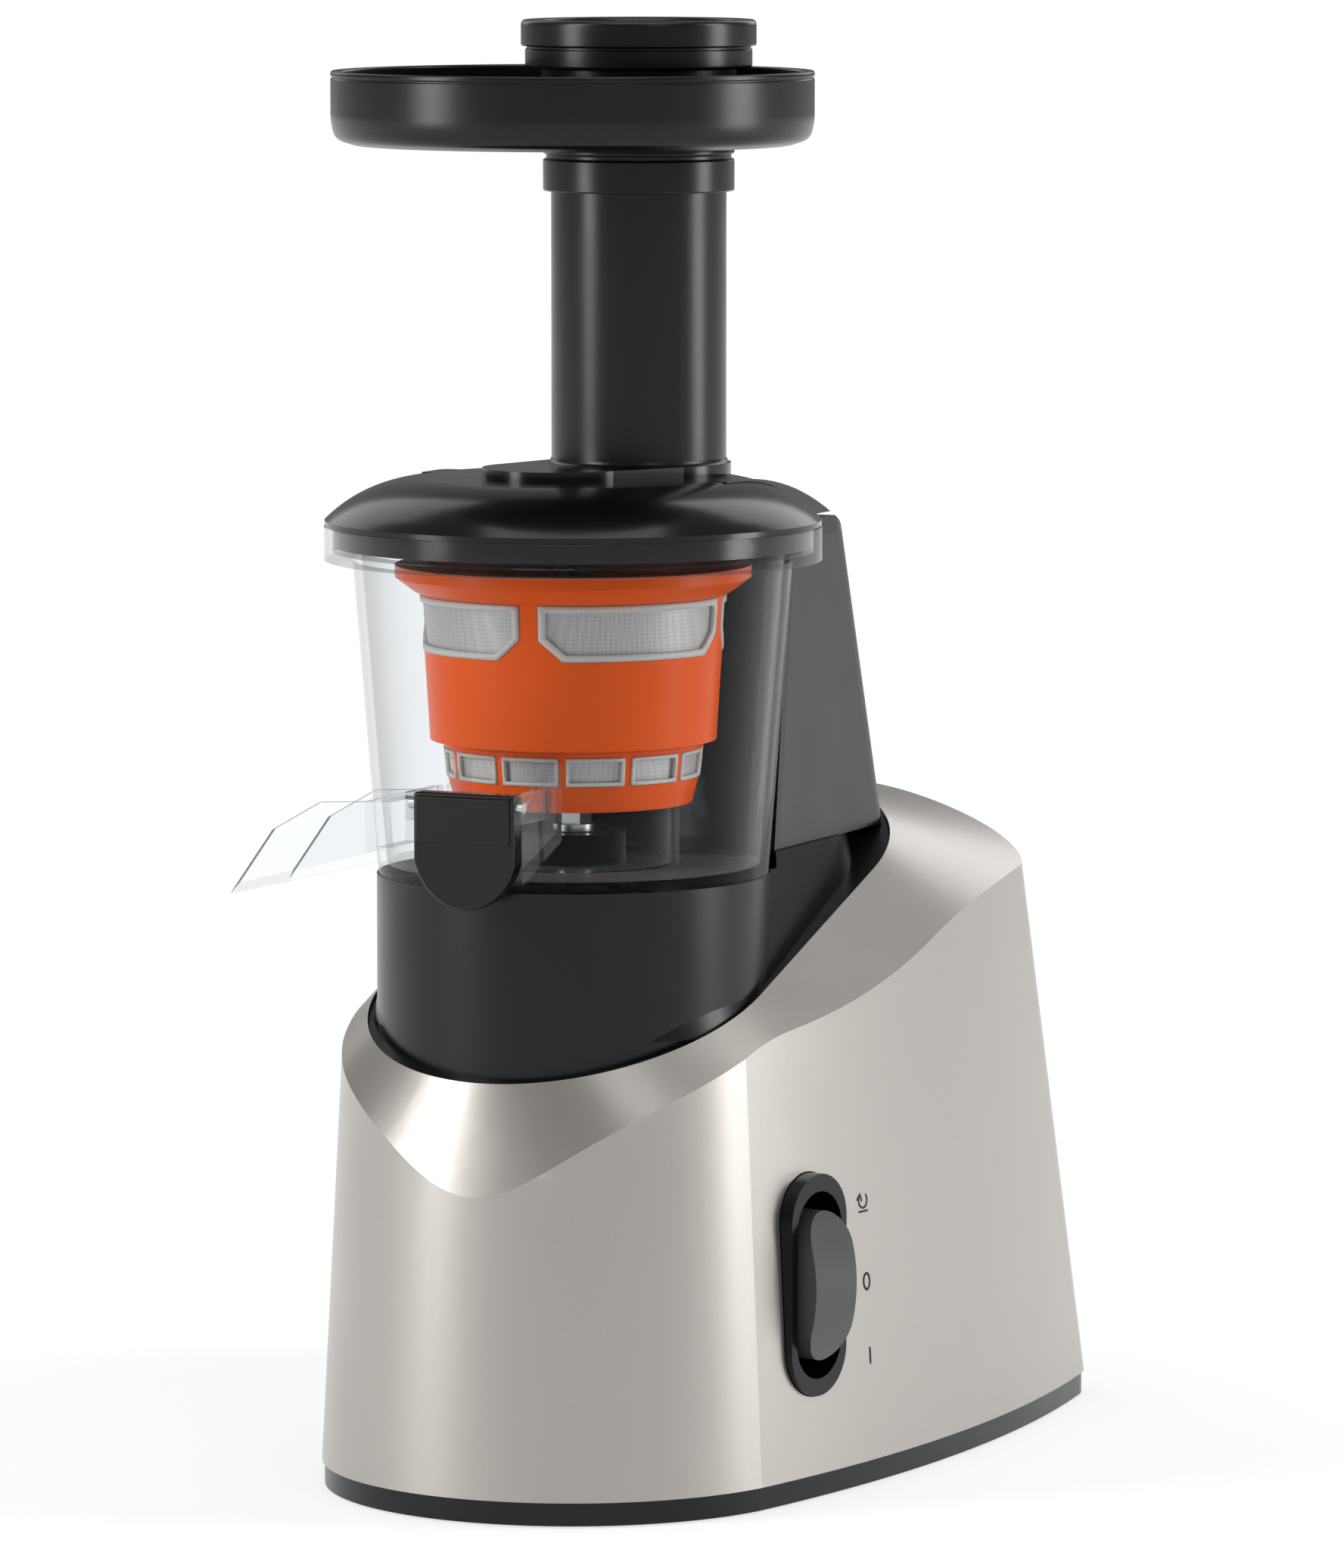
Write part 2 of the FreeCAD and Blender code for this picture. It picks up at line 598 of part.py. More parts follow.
plate_shape = plate_block.cut(plate_well).fuse([lip, pedestal, board_slot] + legs)
foot_plate = shaped("foot_plate", plate_shape.cut(vents + foot_holes).removeSplitter())
foot_high = foot_rise
feet = [Part.makeCylinder(size("foot_radius"), foot_high, vec(x, y, 0)).fuse(
    Part.makeCylinder(2.5, 2.0, vec(x, y, foot_high))) for x, y in foot_spots]
rubber_feet = shaped("rubber_feet", Part.makeCompound([foot.removeSplitter() for foot in feet]))
keep(foot_plate, rubber_feet)

# Motor: rubber seat, can with end bearings, rotor with fan and pinion
motor_low = size("motor_low")
motor_high = size("motor_high")
motor_radius = size("motor_radius")
shaft = size("motor_shaft")
fit = size("fit")


def tube(outer, inner, low, high, along=0.0, across=0.0):
    """Ring or tube on an upright axis."""
    return Part.makeCylinder(outer, high - low, vec(across, along, low)).cut(
        Part.makeCylinder(inner, high - low, vec(across, along, low)))


motor_seat = shaped("motor_seat", tube(36.0, 30.0, pedestal_high, motor_low, motor_y))
can = Part.makeCylinder(motor_radius, motor_high - motor_low, vec(0, motor_y, motor_low)).cut([
    Part.makeCylinder(motor_radius - 3, motor_high - motor_low - 6, vec(0, motor_y, motor_low + 3)),
    Part.makeCylinder(8.0, 200, vec(0, motor_y, 0))])
motor_can = shaped("motor_can", can)
stack = tube(motor_radius - 3, 23.5, motor_low + 14, motor_high - 14, motor_y)
motor_stator = shaped("motor_stator", stack)
bearing_low = shaped("motor_bearing_low", tube(8.0, shaft + fit, motor_low, motor_low + 7, motor_y))
bearing_high = shaped("motor_bearing_high",
                      tube(8.0, shaft + fit, motor_high - 7, motor_high, motor_y))
keep(motor_seat, motor_can, motor_stator, bearing_low, bearing_high)

# Gears with straight-flanked teeth; clearances keep the flanks apart by the backlash
backlash = 0.5


def gear(teeth, low, high, phase, across=0.0, along=0.0, bore=0.0):
    """Spur gear with a tooth centred at the phase angle in degrees."""
    pitch = module * teeth / 2.0
    rings = ((pitch - 1.25 * module, 0.25 * math.pi * module + 0.35 * module),
             (pitch, 0.25 * math.pi * module - backlash / 2),
             (pitch + 0.85 * module, 0.25 * math.pi * module - 0.38 * module))
    spots = []
    for tooth in range(teeth):
        middle = math.radians(phase) + 2 * math.pi * tooth / teeth
        flank = [(radius, middle - half / radius) for radius, half in rings]
        flank += [(radius, middle + half / radius) for radius, half in reversed(rings)]
        spots += [vec(across + radius * math.cos(turn), along + radius * math.sin(turn), low)
                  for radius, turn in flank]
    blank = Part.Face(Part.makePolygon(spots + [spots[0]])).extrude(vec(0, 0, high - low))
    if bore:
        blank = blank.cut(Part.makeCylinder(bore, high - low, vec(across, along, low)))
    return blank


stage_one = case_low + 5.0
stage_two = stage_one + size("gear_thick") + 1.5
gear_top = stage_two + size("gear_thick")
rotor_core = Part.makeCylinder(shaft, stage_one + 8 - 12, vec(0, motor_y, 12.0))
rotor_pinion = gear(motor_teeth, stage_one, stage_one + 8, -90 + 180.0 / motor_teeth,
                    along=motor_y)
rotor_shaft = shaped("rotor_shaft", rotor_core.fuse(rotor_pinion).removeSplitter())
rotor_stack = shaped("rotor_stack", tube(22.5, shaft, motor_low + 14, motor_high - 14, motor_y))
fan_hub = tube(8.0, shaft, 14.0, 22.0, motor_y)
blade_count = 7
blades = []
for index in range(blade_count):
    blade = Part.makeBox(20.0, 1.6, 7.0, vec(7.0, -0.8, 14.5))
    blade.rotate(vec(11.0, 0, 18.0), vec(1, 0, 0), 30)
    blade.rotate(vec(0, 0, 0), vec(0, 0, 1), 360.0 * index / blade_count)
    blade.translate(vec(0, motor_y, 0))
    blades.append(blade)
cooling_fan = shaped("cooling_fan", fan_hub.fuse(blades).removeSplitter())
keep(rotor_shaft, rotor_stack, cooling_fan)

# Gearbox: case and cover around two reductions
idler_pin = 3.0
cover_low = gear_top + 2.0


def box_outline(inset, low, high):
    """Outline of the gearbox as three joined rounds."""
    rounds = [(51.5, 0.0), (34.5, idler_y), (15.0, motor_y)]
    parts = [Part.makeCylinder(radius - inset, high - low, vec(0, along, low))
             for radius, along in rounds]
    return parts[0].fuse(parts[1:]).removeSplitter()


case = box_outline(0.0, case_low, cover_low).cut(box_outline(wall, case_low + 3, cover_low + 1))
case = case.cut([Part.makeCylinder(shaft + 1, 20, vec(0, motor_y, case_low - 5)),
                 Part.makeCylinder(9.0, 20, vec(0, 0, case_low - 5))])
case = case.fuse(Part.makeCylinder(idler_pin, cover_low - case_low, vec(0, idler_y, case_low)))
gearbox_case = shaped("gearbox_case", case.removeSplitter())
lid_plate = box_outline(0.0, cover_low, cover_low + 3.0).cut(
    Part.makeCylinder(9.0, 20, vec(0, 0, cover_low - 5)))
gearbox_cover = shaped("gearbox_cover", lid_plate)
low_bush = shaped("output_bush_low",
                  tube(9.0, size("drive_radius") + fit, case_low, case_low + 4, 0))
high_bush = shaped("output_bush_high", tube(
    9.0, size("drive_radius") + fit, cover_low, cover_low + 3, 0))
idler = gear(first_teeth, stage_one, stage_one + size("gear_thick"), 90.0, along=idler_y,
             bore=idler_pin + fit)
idler_small = gear(second_teeth, stage_one + size("gear_thick"), gear_top,
                   -90.0 + 180.0 / second_teeth, along=idler_y, bore=idler_pin + fit)
idler_gear = shaped("idler_gear", idler.fuse(idler_small).removeSplitter())
output_gear = shaped("output_gear", gear(
    output_teeth, stage_two, gear_top, 90.0, bore=size("drive_radius")))
drive_low = case_low + 0.5
square = size("drive_square")
stem_top = seat + size("bowl_hub_rise") + 2.0
stem = Part.makeCylinder(size("drive_radius"), stem_top - drive_low, vec(0, 0, drive_low))
stem = stem.fuse(Part.makeBox(square, square, size("drive_top") - stem_top,
                              vec(-square / 2, -square / 2, stem_top)))
output_shaft = shaped("output_shaft", stem.removeSplitter())
shaft_seal = shaped("shaft_seal", tube(size("drive_radius") + 4.0 - 0.05,
                                       size("drive_radius") + fit, seat - wall, seat, 0))
keep(gearbox_case, gearbox_cover, low_bush, high_bush, idler_gear, output_gear,
     output_shaft, shaft_seal)

# Control board on its edge in the foot plate's slot
board = Part.makeBox(1.6, 46.0, 34.0, vec(55.2, 32.0, foot_rise + plate_wall + 2.0))
capacitor = Part.makeBox(10.0, 18.0, 14.0, vec(45.2, 36.0, 24.0))
relay = Part.makeBox(8.0, 12.0, 12.0, vec(47.2, 60.0, 24.0))
control_board = shaped("control_board", board.fuse([capacitor, relay]).removeSplitter())
keep(control_board)

# Clear bowl: tapered wall, rim, floor with a raised hub, juice spout in front, pulp chute at the left
bowl_shell = turned("bowl_wall", [
    ("bowl_hub", "seat_height"), ("bowl_low", "seat_height"), ("bowl_high", "bowl_rim_low"),
    ("bowl_rim", "bowl_rim_low"), ("bowl_rim", "bowl_rim_top"),
    ("bowl_rim - bowl_wall", "bowl_rim_top"), ("bowl_rim - bowl_wall", "bowl_rim_low + bowl_wall"),
    ("bowl_high - bowl_wall", "bowl_rim_low + bowl_wall"),
    ("bowl_low - bowl_wall", "seat_height + bowl_floor"),
    ("bowl_hub", "seat_height + bowl_floor"),
    ("bowl_hub", "seat_height + bowl_hub_rise"),
    ("bowl_hub - bowl_wall - bowl_wall", "seat_height + bowl_hub_rise"),
    ("bowl_hub - bowl_wall - bowl_wall", "seat_height + bowl_floor"),
    ("bowl_hub - bowl_wall - bowl_wall", "seat_height")])
spout_outer = padded("spout_outer", "YZ_Plane", [
    ("-spout_reach", "spout_floor_out - spout_wall"), ("-spout_inner", "spout_floor_in - spout_wall"),
    ("-spout_inner", "spout_top_in"), ("-spout_reach", "spout_top_out")], "2*spout_half")
spout_inner = padded("spout_hollow", "YZ_Plane", [
    ("-spout_reach - spout_wall", "spout_floor_out"), ("-spout_inner", "spout_floor_in"),
    ("-spout_inner", "spout_top_in + spout_wall"),
    ("-spout_reach - spout_wall", "spout_top_in + spout_wall")],
    "2*spout_half - 2*spout_wall")
pulp_outer = padded("pulp_outer", "XZ_Plane", [
    ("-pulp_reach", "pulp_floor_out"), ("-bowl_low + bowl_wall", "pulp_floor_in - bowl_wall"),
    ("-bowl_low + bowl_wall", "pulp_top_in"), ("-bowl_low - 16", "pulp_top_in - 1"),
    ("-pulp_reach + 14", "pulp_top_out + 12")],
    "2*pulp_half")
pulp_inner = padded("pulp_hollow", "XZ_Plane", [
    ("-pulp_reach - bowl_wall", "pulp_floor_out + spout_wall"),
    ("-bowl_low - bowl_wall", "pulp_floor_in"), ("-bowl_low - bowl_wall", "pulp_top_in + bowl_wall"),
    ("-pulp_reach - bowl_wall", "pulp_top_in + bowl_wall")],
    "2*pulp_half - 2*spout_wall")
pulp_port = block("pulp_port", ("pulp_reach", "pulp_half", "pulp_top_in - pulp_floor_in - bowl_wall"),
                  "-pulp_reach", "-0.5*pulp_half", "pulp_floor_in + 0.5*bowl_wall")
basket_seat = turned("basket_seat", [
    ("basket_low - 6", "seat_height + 0.5*bowl_floor"),
    ("basket_low - 3.6", "seat_height + 0.5*bowl_floor"),
    ("basket_low - 3.6", "basket_base - gap"), ("basket_low - 6", "basket_base - gap")])
bowl_with_chutes = fuse("bowl_with_chutes", [bowl_shell, spout_outer, pulp_outer, basket_seat])
for step, tool in enumerate((spout_inner, pulp_inner, pulp_port)):
    bowl_with_chutes = cut("juice_bowl" if step == 2 else "bowl_cut_%d" % step,
                           bowl_with_chutes, tool)
juice_bowl = bowl_with_chutes
bowl_seal = turned("bowl_seal", [
    ("drive_radius + fit", "seat_height + 0.5*bowl_floor"),
    ("bowl_hub - bowl_wall - bowl_wall", "seat_height + 0.5*bowl_floor"),
    ("bowl_hub - bowl_wall - bowl_wall", "seat_height + bowl_hub_rise"),
    ("drive_radius + fit", "seat_height + bowl_hub_rise")])
keep(juice_bowl, bowl_seal)

# Drip stopper: black flap hinged on a pin across the spout's open end
stop_front = size("spout_reach") + 3 * gap
stop_half = size("stopper_half")
stop_low = size("stopper_low")
stop_high = size("stopper_high")
stop_waist = stop_low + 13.0
chin = 3.5
stop_pin_y = -(stop_front + size("stopper_thick") / 2)
stop_pin_z = stop_high - 3.5
flap_outline = Part.Wire([
    line(vec(-stop_half, -stop_front, stop_high), vec(stop_half, -stop_front, stop_high)),
    line(vec(stop_half, -stop_front, stop_high), vec(stop_half, -stop_front, stop_waist)),
    line(vec(stop_half, -stop_front, stop_waist), vec(chin, -stop_front, stop_low + 1)),
    arc(vec(chin, -stop_front, stop_low + 1), vec(0, -stop_front, stop_low),
        vec(-chin, -stop_front, stop_low + 1)),
    line(vec(-chin, -stop_front, stop_low + 1), vec(-stop_half, -stop_front, stop_waist)),
    line(vec(-stop_half, -stop_front, stop_waist), vec(-stop_half, -stop_front, stop_high))])
flap = Part.Face(flap_outline).extrude(vec(0, -size("stopper_thick"), 0))
pin_hole = Part.makeCylinder(size("stopper_pin") + fit, 100, vec(-50, stop_pin_y, stop_pin_z),
                             vec(1, 0, 0))
drip_stopper = shaped("drip_stopper", flap.cut(pin_hole))
ear_wide = 1.8
ear_in = stop_half + gap
ears = []
for way in (-1, 1):
    low_x = ear_in if way > 0 else -ear_in - ear_wide
    ears.append(Part.makeBox(ear_wide, size("stopper_thick") + 14, 8.0,
                             vec(low_x, stop_pin_y - 3.0, stop_pin_z - 4.5)))
    bridge_x = size("spout_half") - 1.0 if way > 0 else -ear_in - ear_wide
    ears.append(Part.makeBox(ear_in + ear_wide - size("spout_half") + 1.0, 9.0, 8.0,
                             vec(bridge_x, -size("spout_reach") + 0.5, stop_pin_z - 4.5)))
spout_solid = shaped("spout_ears", ears[0].fuse(ears[1:]).cut(pin_hole))
doc.recompute()
ears_cut = spout_solid.Shape.cut(spout_inner.Shape)
spout_ears = shaped("spout_hinge_ears", ears_cut.cut(juice_bowl.Shape))
doc.removeObject("spout_ears")
stopper_pin = shaped("stopper_pin", Part.makeCylinder(
    size("stopper_pin"), 2 * (ear_in + ear_wide), vec(-ear_in - ear_wide, stop_pin_y, stop_pin_z),
    vec(1, 0, 0)))
keep(drip_stopper, spout_ears, stopper_pin)

# Filter basket: orange frame with two tiers of windows, steel mesh set into them
basket_wall = size("basket_wall")
basket_blank = turned("basket_blank", [
    ("basket_high - basket_wall", "basket_flange_top"), ("basket_flange", "basket_flange_top"),
    ("basket_flange", "basket_flange_low"), ("basket_high + basket_wall", "window_high_top + 1"),
    ("basket_high", "window_high_top"), ("basket_mid", "basket_shoulder"),
    ("basket_mid - 4", "basket_shoulder - 1"), ("basket_low + 2", "window_low_low"),
    ("basket_low", "basket_base"), ("basket_low - 10", "basket_base"),
    ("basket_low - 10", "basket_base + basket_wall"),
    ("basket_low - basket_wall", "basket_base + basket_wall"),
    ("basket_low + 2 - basket_wall", "window_low_low"),
    ("basket_mid - 4 - basket_wall", "basket_shoulder + 2"),
    ("basket_mid - basket_wall", "basket_shoulder + 4"),
    ("basket_high - basket_wall", "window_high_top")])
doc.recompute()


def window_cutter(low, high, count, start, bar):
    """Blocks that cut equal windows around an upright axis."""
    cutters = []
    reach = size("basket_flange")
    for index in range(count):
        middle = start + 360.0 * index / count
        half_turn = 180.0 / count - math.degrees(bar / 2 / size("basket_mid"))
        wedge = Part.makeCylinder(reach, high - low, vec(0, 0, low), vec(0, 0, 1), 2 * half_turn)
        wedge.rotate(vec(0, 0, 0), vec(0, 0, 1), middle - half_turn)
        cutters.append(wedge)
    return cutters


bar_count = 4
low_bar_count = 12
hump_rise = 6.0
hump_half = 9.5


def bar_hump(angle):
    """Trapezoid block under one bar, which cuts the lower corners off the windows beside it."""
    low = size("window_high_low")
    narrow = hump_half - hump_rise
    corners = [vec(0, -hump_half, low - wall), vec(0, hump_half, low - wall),
               vec(0, hump_half, low), vec(0, narrow, low + hump_rise),
               vec(0, -narrow, low + hump_rise), vec(0, -hump_half, low)]
    hump = Part.Face(Part.makePolygon(corners + [corners[0]])).extrude(
        vec(size("basket_flange"), 0, 0))
    hump.rotate(vec(0, 0, 0), vec(0, 0, 1), angle)
    return hump


humps = [bar_hump(size("window_turn") + 360.0 * (index + 0.5) / bar_count)
         for index in range(bar_count)]
upper_windows = [cutter.cut(humps) for cutter in window_cutter(
    size("window_high_low"), size("window_high_top"), bar_count, size("window_turn"),
    size("window_gap"))]
lower_windows = window_cutter(size("window_low_low"), size("window_low_top"), low_bar_count,
                              size("window_low_turn"), size("window_low_gap"))
filter_basket = shaped("filter_basket", basket_blank.Shape.cut(upper_windows + lower_windows))


def mesh_band(label, low, high, outer_low, outer_high, cutters):
    """Thin steel mesh panels that fill one tier of windows."""
    thick = size("mesh_thick")
    band = Part.makeCone(outer_low, outer_high, high - low, vec(0, 0, low)).cut(
        Part.makeCone(outer_low - thick, outer_high - thick, high - low, vec(0, 0, low)))
    panels = [band.common(cutter) for cutter in cutters]
    return shaped(label, Part.makeCompound([item.Solids[0] for item in panels]))


lean = (size("basket_high") - size("basket_mid")) / (size("window_high_top")
                                                       - size("basket_shoulder"))
upper_out = size("basket_high") - basket_wall / 2
upper_mesh = mesh_band("upper_mesh", size("window_high_low"), size("window_high_top"),
                       upper_out - lean * (size("window_high_top") - size("window_high_low")),
                       upper_out, upper_windows)
low_lean = (size("basket_mid") - 6 - size("basket_low")) / (size("basket_shoulder") - 1
                                                              - size("window_low_low"))
lower_out = size("basket_low") + 2 - basket_wall / 2
lower_mesh = mesh_band("lower_mesh", size("window_low_low"), size("window_low_top"), lower_out,
                       lower_out + low_lean * (size("window_low_top") - size("window_low_low")),
                       lower_windows)
keep(filter_basket, upper_mesh, lower_mesh)

# Pressing screw: conical core with a helical blade, driven by the square of the output shaft
screw_low = size("screw_low")
screw_top = size("screw_top")
screw_core = Part.makeCone(size("screw_core_low"), size("screw_core_high"), screw_top - screw_low,
                           vec(0, 0, screw_low))
blade_radius = size("screw_blade")
helix_high = screw_top - screw_low - 12.0
helix = Part.makeLongHelix(size("screw_pitch"), helix_high, size("screw_core_high"), 0)
blade_thick = 3.0
profile = Part.makePolygon([
    vec(size("screw_core_high") - 3, 0, 0), vec(blade_radius, 0, 0),
    vec(blade_radius, 0, blade_thick), vec(size("screw_core_high") - 3, 0, blade_thick),
    vec(size("screw_core_high") - 3, 0, 0)])
blade = Part.Wire(helix.Edges).makePipeShell([profile], True, True)
blade.translate(vec(0, 0, screw_low + 3.0))
socket_half = size("drive_square") / 2 + fit
socket = Part.makeBox(2 * socket_half, 2 * socket_half, size("drive_top") - screw_low + 1.0,
                      vec(-socket_half, -socket_half, screw_low))
top_pin = Part.makeCylinder(size("screw_pin"), size("screw_pin_top") - screw_top + 1,
                            vec(0, 0, screw_top - 1))
pressing_screw = shaped("pressing_screw",
                        screw_core.fuse([blade, top_pin]).cut(socket).removeSplitter())
keep(pressing_screw)
print("screw", pressing_screw.Shape.isValid(), pressing_screw.Shape.Volume,
      len(pressing_screw.Shape.Solids))

# Lid: black dome with a raised boss, a rear hood over the pillar, and the feed tube
tube_x = size("tube_offset_x")
tube_y = size("tube_offset_y")
lid_low = size("lid_low")
lid_edge = size("lid_edge")
lid_wall = size("lid_wall")


def dome(inset):
    """Shallow dome turned about the bowl's axis."""
    rim = vec(lid_edge - inset, 0, lid_low + 1.5)
    crown_edge = vec(size("lid_crown") - inset, 0, size("lid_dome") - inset)
    bulge = vec(0.5 * (rim.x + crown_edge.x) + 2.2, 0, 0.5 * (rim.z + crown_edge.z) + 2.0)
    low = vec(lid_edge - inset, 0, lid_low - inset)
    face = Part.Face(Part.Wire([
        line(vec(0, 0, low.z), low), line(low, rim), arc(rim, bulge, crown_edge),
        line(crown_edge, vec(0, 0, crown_edge.z)),
        line(vec(0, 0, crown_edge.z), vec(0, 0, low.z))]))
    return face.revolve(vec(0, 0, 0), vec(0, 0, 1), 360)


def hood(inset, low):
    """Rear hood of the lid, from the dome down to the pillar's top."""
    half = size("pillar_half") - inset
    rear = size("pillar_rear_high") - inset
    corner = size("pillar_corner") - inset
    slant = corner * (1.0 - math.sqrt(0.5))
    plan = Part.Wire([
        line(vec(-half, 0, low), vec(half, 0, low)),
        line(vec(half, 0, low), vec(half, rear - corner, low)),
        arc(vec(half, rear - corner, low), vec(half - slant, rear - slant, low),
            vec(half - corner, rear, low)),
        line(vec(half - corner, rear, low), vec(corner - half, rear, low)),
        arc(vec(corner - half, rear, low), vec(slant - half, rear - slant, low),
            vec(-half, rear - corner, low)),
        line(vec(-half, rear - corner, low), vec(-half, 0, low))])
    block_shape = Part.Face(plan).extrude(vec(0, 0, size("lid_dome") - low))
    return block_shape.common(crest(inset))


def boss(inset, low, high):
    """Raised oval on the dome that carries the feed tube and the screw's bearing."""
    half = size("boss_half") - inset
    small = size("boss_small") - inset
    left = vec(-4.0, -1.0, low)
    right = vec(tube_x, tube_y, low)
    across = vec(left.y - right.y, right.x - left.x, 0).normalize()
    corners = [left + across * small, left - across * small, right - across * half,
               right + across * half]
    bridge = Part.Face(Part.makePolygon(corners + [corners[0]])).extrude(vec(0, 0, high - low))
    ends = [Part.makeCylinder(small, high - low, left), Part.makeCylinder(half, high - low, right)]
    return bridge.fuse(ends).removeSplitter()


lid_outer = dome(0.0).fuse([hood(0.0, lid_low), boss(0.0, lid_low, size("boss_top"))])
lid_inner = dome(lid_wall).fuse([hood(lid_wall, lid_low - 1.0).cut(Part.makeCylinder(
    lid_edge, 60, vec(0, 0, lid_low - 20))), boss(lid_wall, lid_low, size("boss_top") - lid_wall)])
plug_ring = tube(size("bowl_rim") - size("bowl_wall") - gap,
                 size("bowl_rim") - size("bowl_wall") - gap - lid_wall, lid_low - 6.0, lid_low + 0.5)
tube_low = size("boss_top") - lid_wall
bearing_low = screw_top + 4.0
bearing_boss = Part.makeCylinder(size("screw_pin") + 2.5, tube_low - bearing_low,
                                 vec(0, 0, bearing_low))
tube_hole = Part.makeCylinder(size("tube_radius") - size("tube_wall"), 80,
                              vec(tube_x, tube_y, lid_low - 20))
tube_seat = Part.makeCylinder(size("tube_radius"), 80, vec(tube_x, tube_y, tube_low))
pin_cut = Part.makeCylinder(size("screw_pin") + fit, size("screw_pin_top") + 1.0 - screw_top,
                            vec(0, 0, screw_top))
lid_shape = lid_outer.cut(lid_inner).fuse([plug_ring]).cut([tube_seat, tube_hole])
lid_shape = lid_shape.fuse([bearing_boss]).cut(pin_cut)
lid_shape = sorted(lid_shape.Solids, key=lambda solid: solid.Volume)[-1]
lid = shaped("lid", lid_shape)
feed_tube = shaped("feed_tube", tube(size("tube_radius"), size("tube_radius") - size("tube_wall"),
                                     tube_low, size("tube_top"), tube_y, tube_x))
keep(lid, feed_tube)
print("lid", lid_shape.isValid(), lid_shape.Volume, lid_shape.BoundBox)

# Tray: round dish centred over the bowl, whose collar slips over the tube off its centre
offset = ("tube_offset_x", "tube_offset_y")
dish = turned("tray_dish", [
    ("screw_pin", "tray_low"), ("tray_radius - tray_round", "tray_low"),
    ("tray_radius - 0.5*tray_round", "tray_low + 0.13*tray_round"),
    ("tray_radius - 0.13*tray_round", "tray_low + 0.5*tray_round"),
    ("tray_radius", "tray_low + tray_round"),
    ("tray_radius", "tray_top"), ("tray_radius - tray_wall", "tray_top"),
    ("tray_radius - tray_wall", "tray_low + tray_round"),
    ("tray_radius - tray_round", "tray_low + tray_wall"),
    ("screw_pin", "tray_low + tray_wall")])
dish_core = rod("tray_core", "2*screw_pin", "tray_wall", "0", "0", "tray_low")
collar = turned("tray_collar", [
    ("tube_radius + gap", "collar_low"), ("collar_radius + gap", "collar_low"),
    ("collar_radius + gap", "tray_low + 0.5*tray_wall"),
    ("tube_radius + gap", "tray_low + 0.5*tray_wall")], offset)
tube_way = rod("tube_way", "tube_radius + gap", "tube_top + gap - collar_low", *offset,
               "collar_low")
mouth = rod("tray_mouth", "tube_radius - tube_wall", "4*tray_wall", *offset, "tray_low")
tray_blank = cut("tray_bored", fuse("tray_blank", [dish, dish_core, collar]), tube_way)
tray = cut("tray", tray_blank, mouth)
pusher = turned("pusher", [
    ("pusher_radius - pusher_wall", "pusher_low"), ("pusher_radius", "pusher_low"),
    ("pusher_radius", "tray_low + tray_wall + gap"),
    ("pusher_seat", "tray_low + tray_wall + gap"),
    ("pusher_seat", "tray_top + gap"), ("pusher_neck", "tray_top + gap"),
    ("pusher_neck", "pusher_step"), ("pusher_head", "pusher_step + 0.6"),
    ("pusher_head", "pusher_top - 1.5"), ("pusher_head - 1.5", "pusher_top"),
    ("pusher_radius - pusher_wall", "pusher_top")], offset)
pusher_cap = turned("pusher_foot", [
    ("screw_pin", "pusher_low - 2"), ("pusher_radius", "pusher_low - 2"),
    ("pusher_radius", "pusher_low"), ("screw_pin", "pusher_low")], offset)
keep(tray, pusher, pusher_cap)
doc.recompute()

os.makedirs("parts", exist_ok=True)
faults = []
for item in doc.Objects:
    if "Invalid" in item.State or "Error" in item.State:
        faults.append("%s %s" % (item.Name, item.State))
for node in nodes:
    if node.Shape.isNull() or not node.Shape.isValid():
        faults.append(node.Label + " shape")
if faults:
    raise SystemExit("faults: " + ", ".join(faults))
for node in nodes:
    node.Shape.exportStep("parts/%s.step" % node.Label)
    print(node.Label, len(node.Shape.Solids), round(node.Shape.Volume))
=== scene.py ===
import json
import math

import bmesh
import bpy
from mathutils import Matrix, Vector


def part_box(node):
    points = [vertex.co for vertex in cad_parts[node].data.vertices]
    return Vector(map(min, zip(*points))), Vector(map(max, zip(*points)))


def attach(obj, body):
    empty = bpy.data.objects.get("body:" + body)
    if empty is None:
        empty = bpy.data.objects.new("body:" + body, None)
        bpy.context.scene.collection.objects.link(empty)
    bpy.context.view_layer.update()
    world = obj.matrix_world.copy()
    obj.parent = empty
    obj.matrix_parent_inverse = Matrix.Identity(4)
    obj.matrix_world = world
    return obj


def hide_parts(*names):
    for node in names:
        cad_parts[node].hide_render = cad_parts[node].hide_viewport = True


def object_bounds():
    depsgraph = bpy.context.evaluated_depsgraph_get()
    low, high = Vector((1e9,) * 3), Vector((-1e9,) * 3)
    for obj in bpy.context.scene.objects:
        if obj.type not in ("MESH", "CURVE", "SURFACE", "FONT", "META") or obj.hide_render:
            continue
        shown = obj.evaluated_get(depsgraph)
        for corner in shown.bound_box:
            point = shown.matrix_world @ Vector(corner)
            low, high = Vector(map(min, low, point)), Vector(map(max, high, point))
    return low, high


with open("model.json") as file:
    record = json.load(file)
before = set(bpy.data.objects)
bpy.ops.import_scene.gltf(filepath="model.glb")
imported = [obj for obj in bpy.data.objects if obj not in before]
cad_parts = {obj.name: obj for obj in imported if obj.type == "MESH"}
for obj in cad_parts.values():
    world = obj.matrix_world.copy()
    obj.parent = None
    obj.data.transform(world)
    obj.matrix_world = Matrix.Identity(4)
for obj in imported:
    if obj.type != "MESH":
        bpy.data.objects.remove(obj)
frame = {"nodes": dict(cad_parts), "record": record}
cad_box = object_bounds()

# The picture's camera: distances in metres, angles in degrees
CAMERA_TURN = 25.0
CAMERA_DROP = 6.15
CAMERA_FAR = 2.552
CAMERA_HIGH = 0.4776
LENS = 205.7
AXIS_PIXEL_X = 757.0
CENTRE_PIXEL_X = 888.0
FOCAL_PIXELS = 11840.0


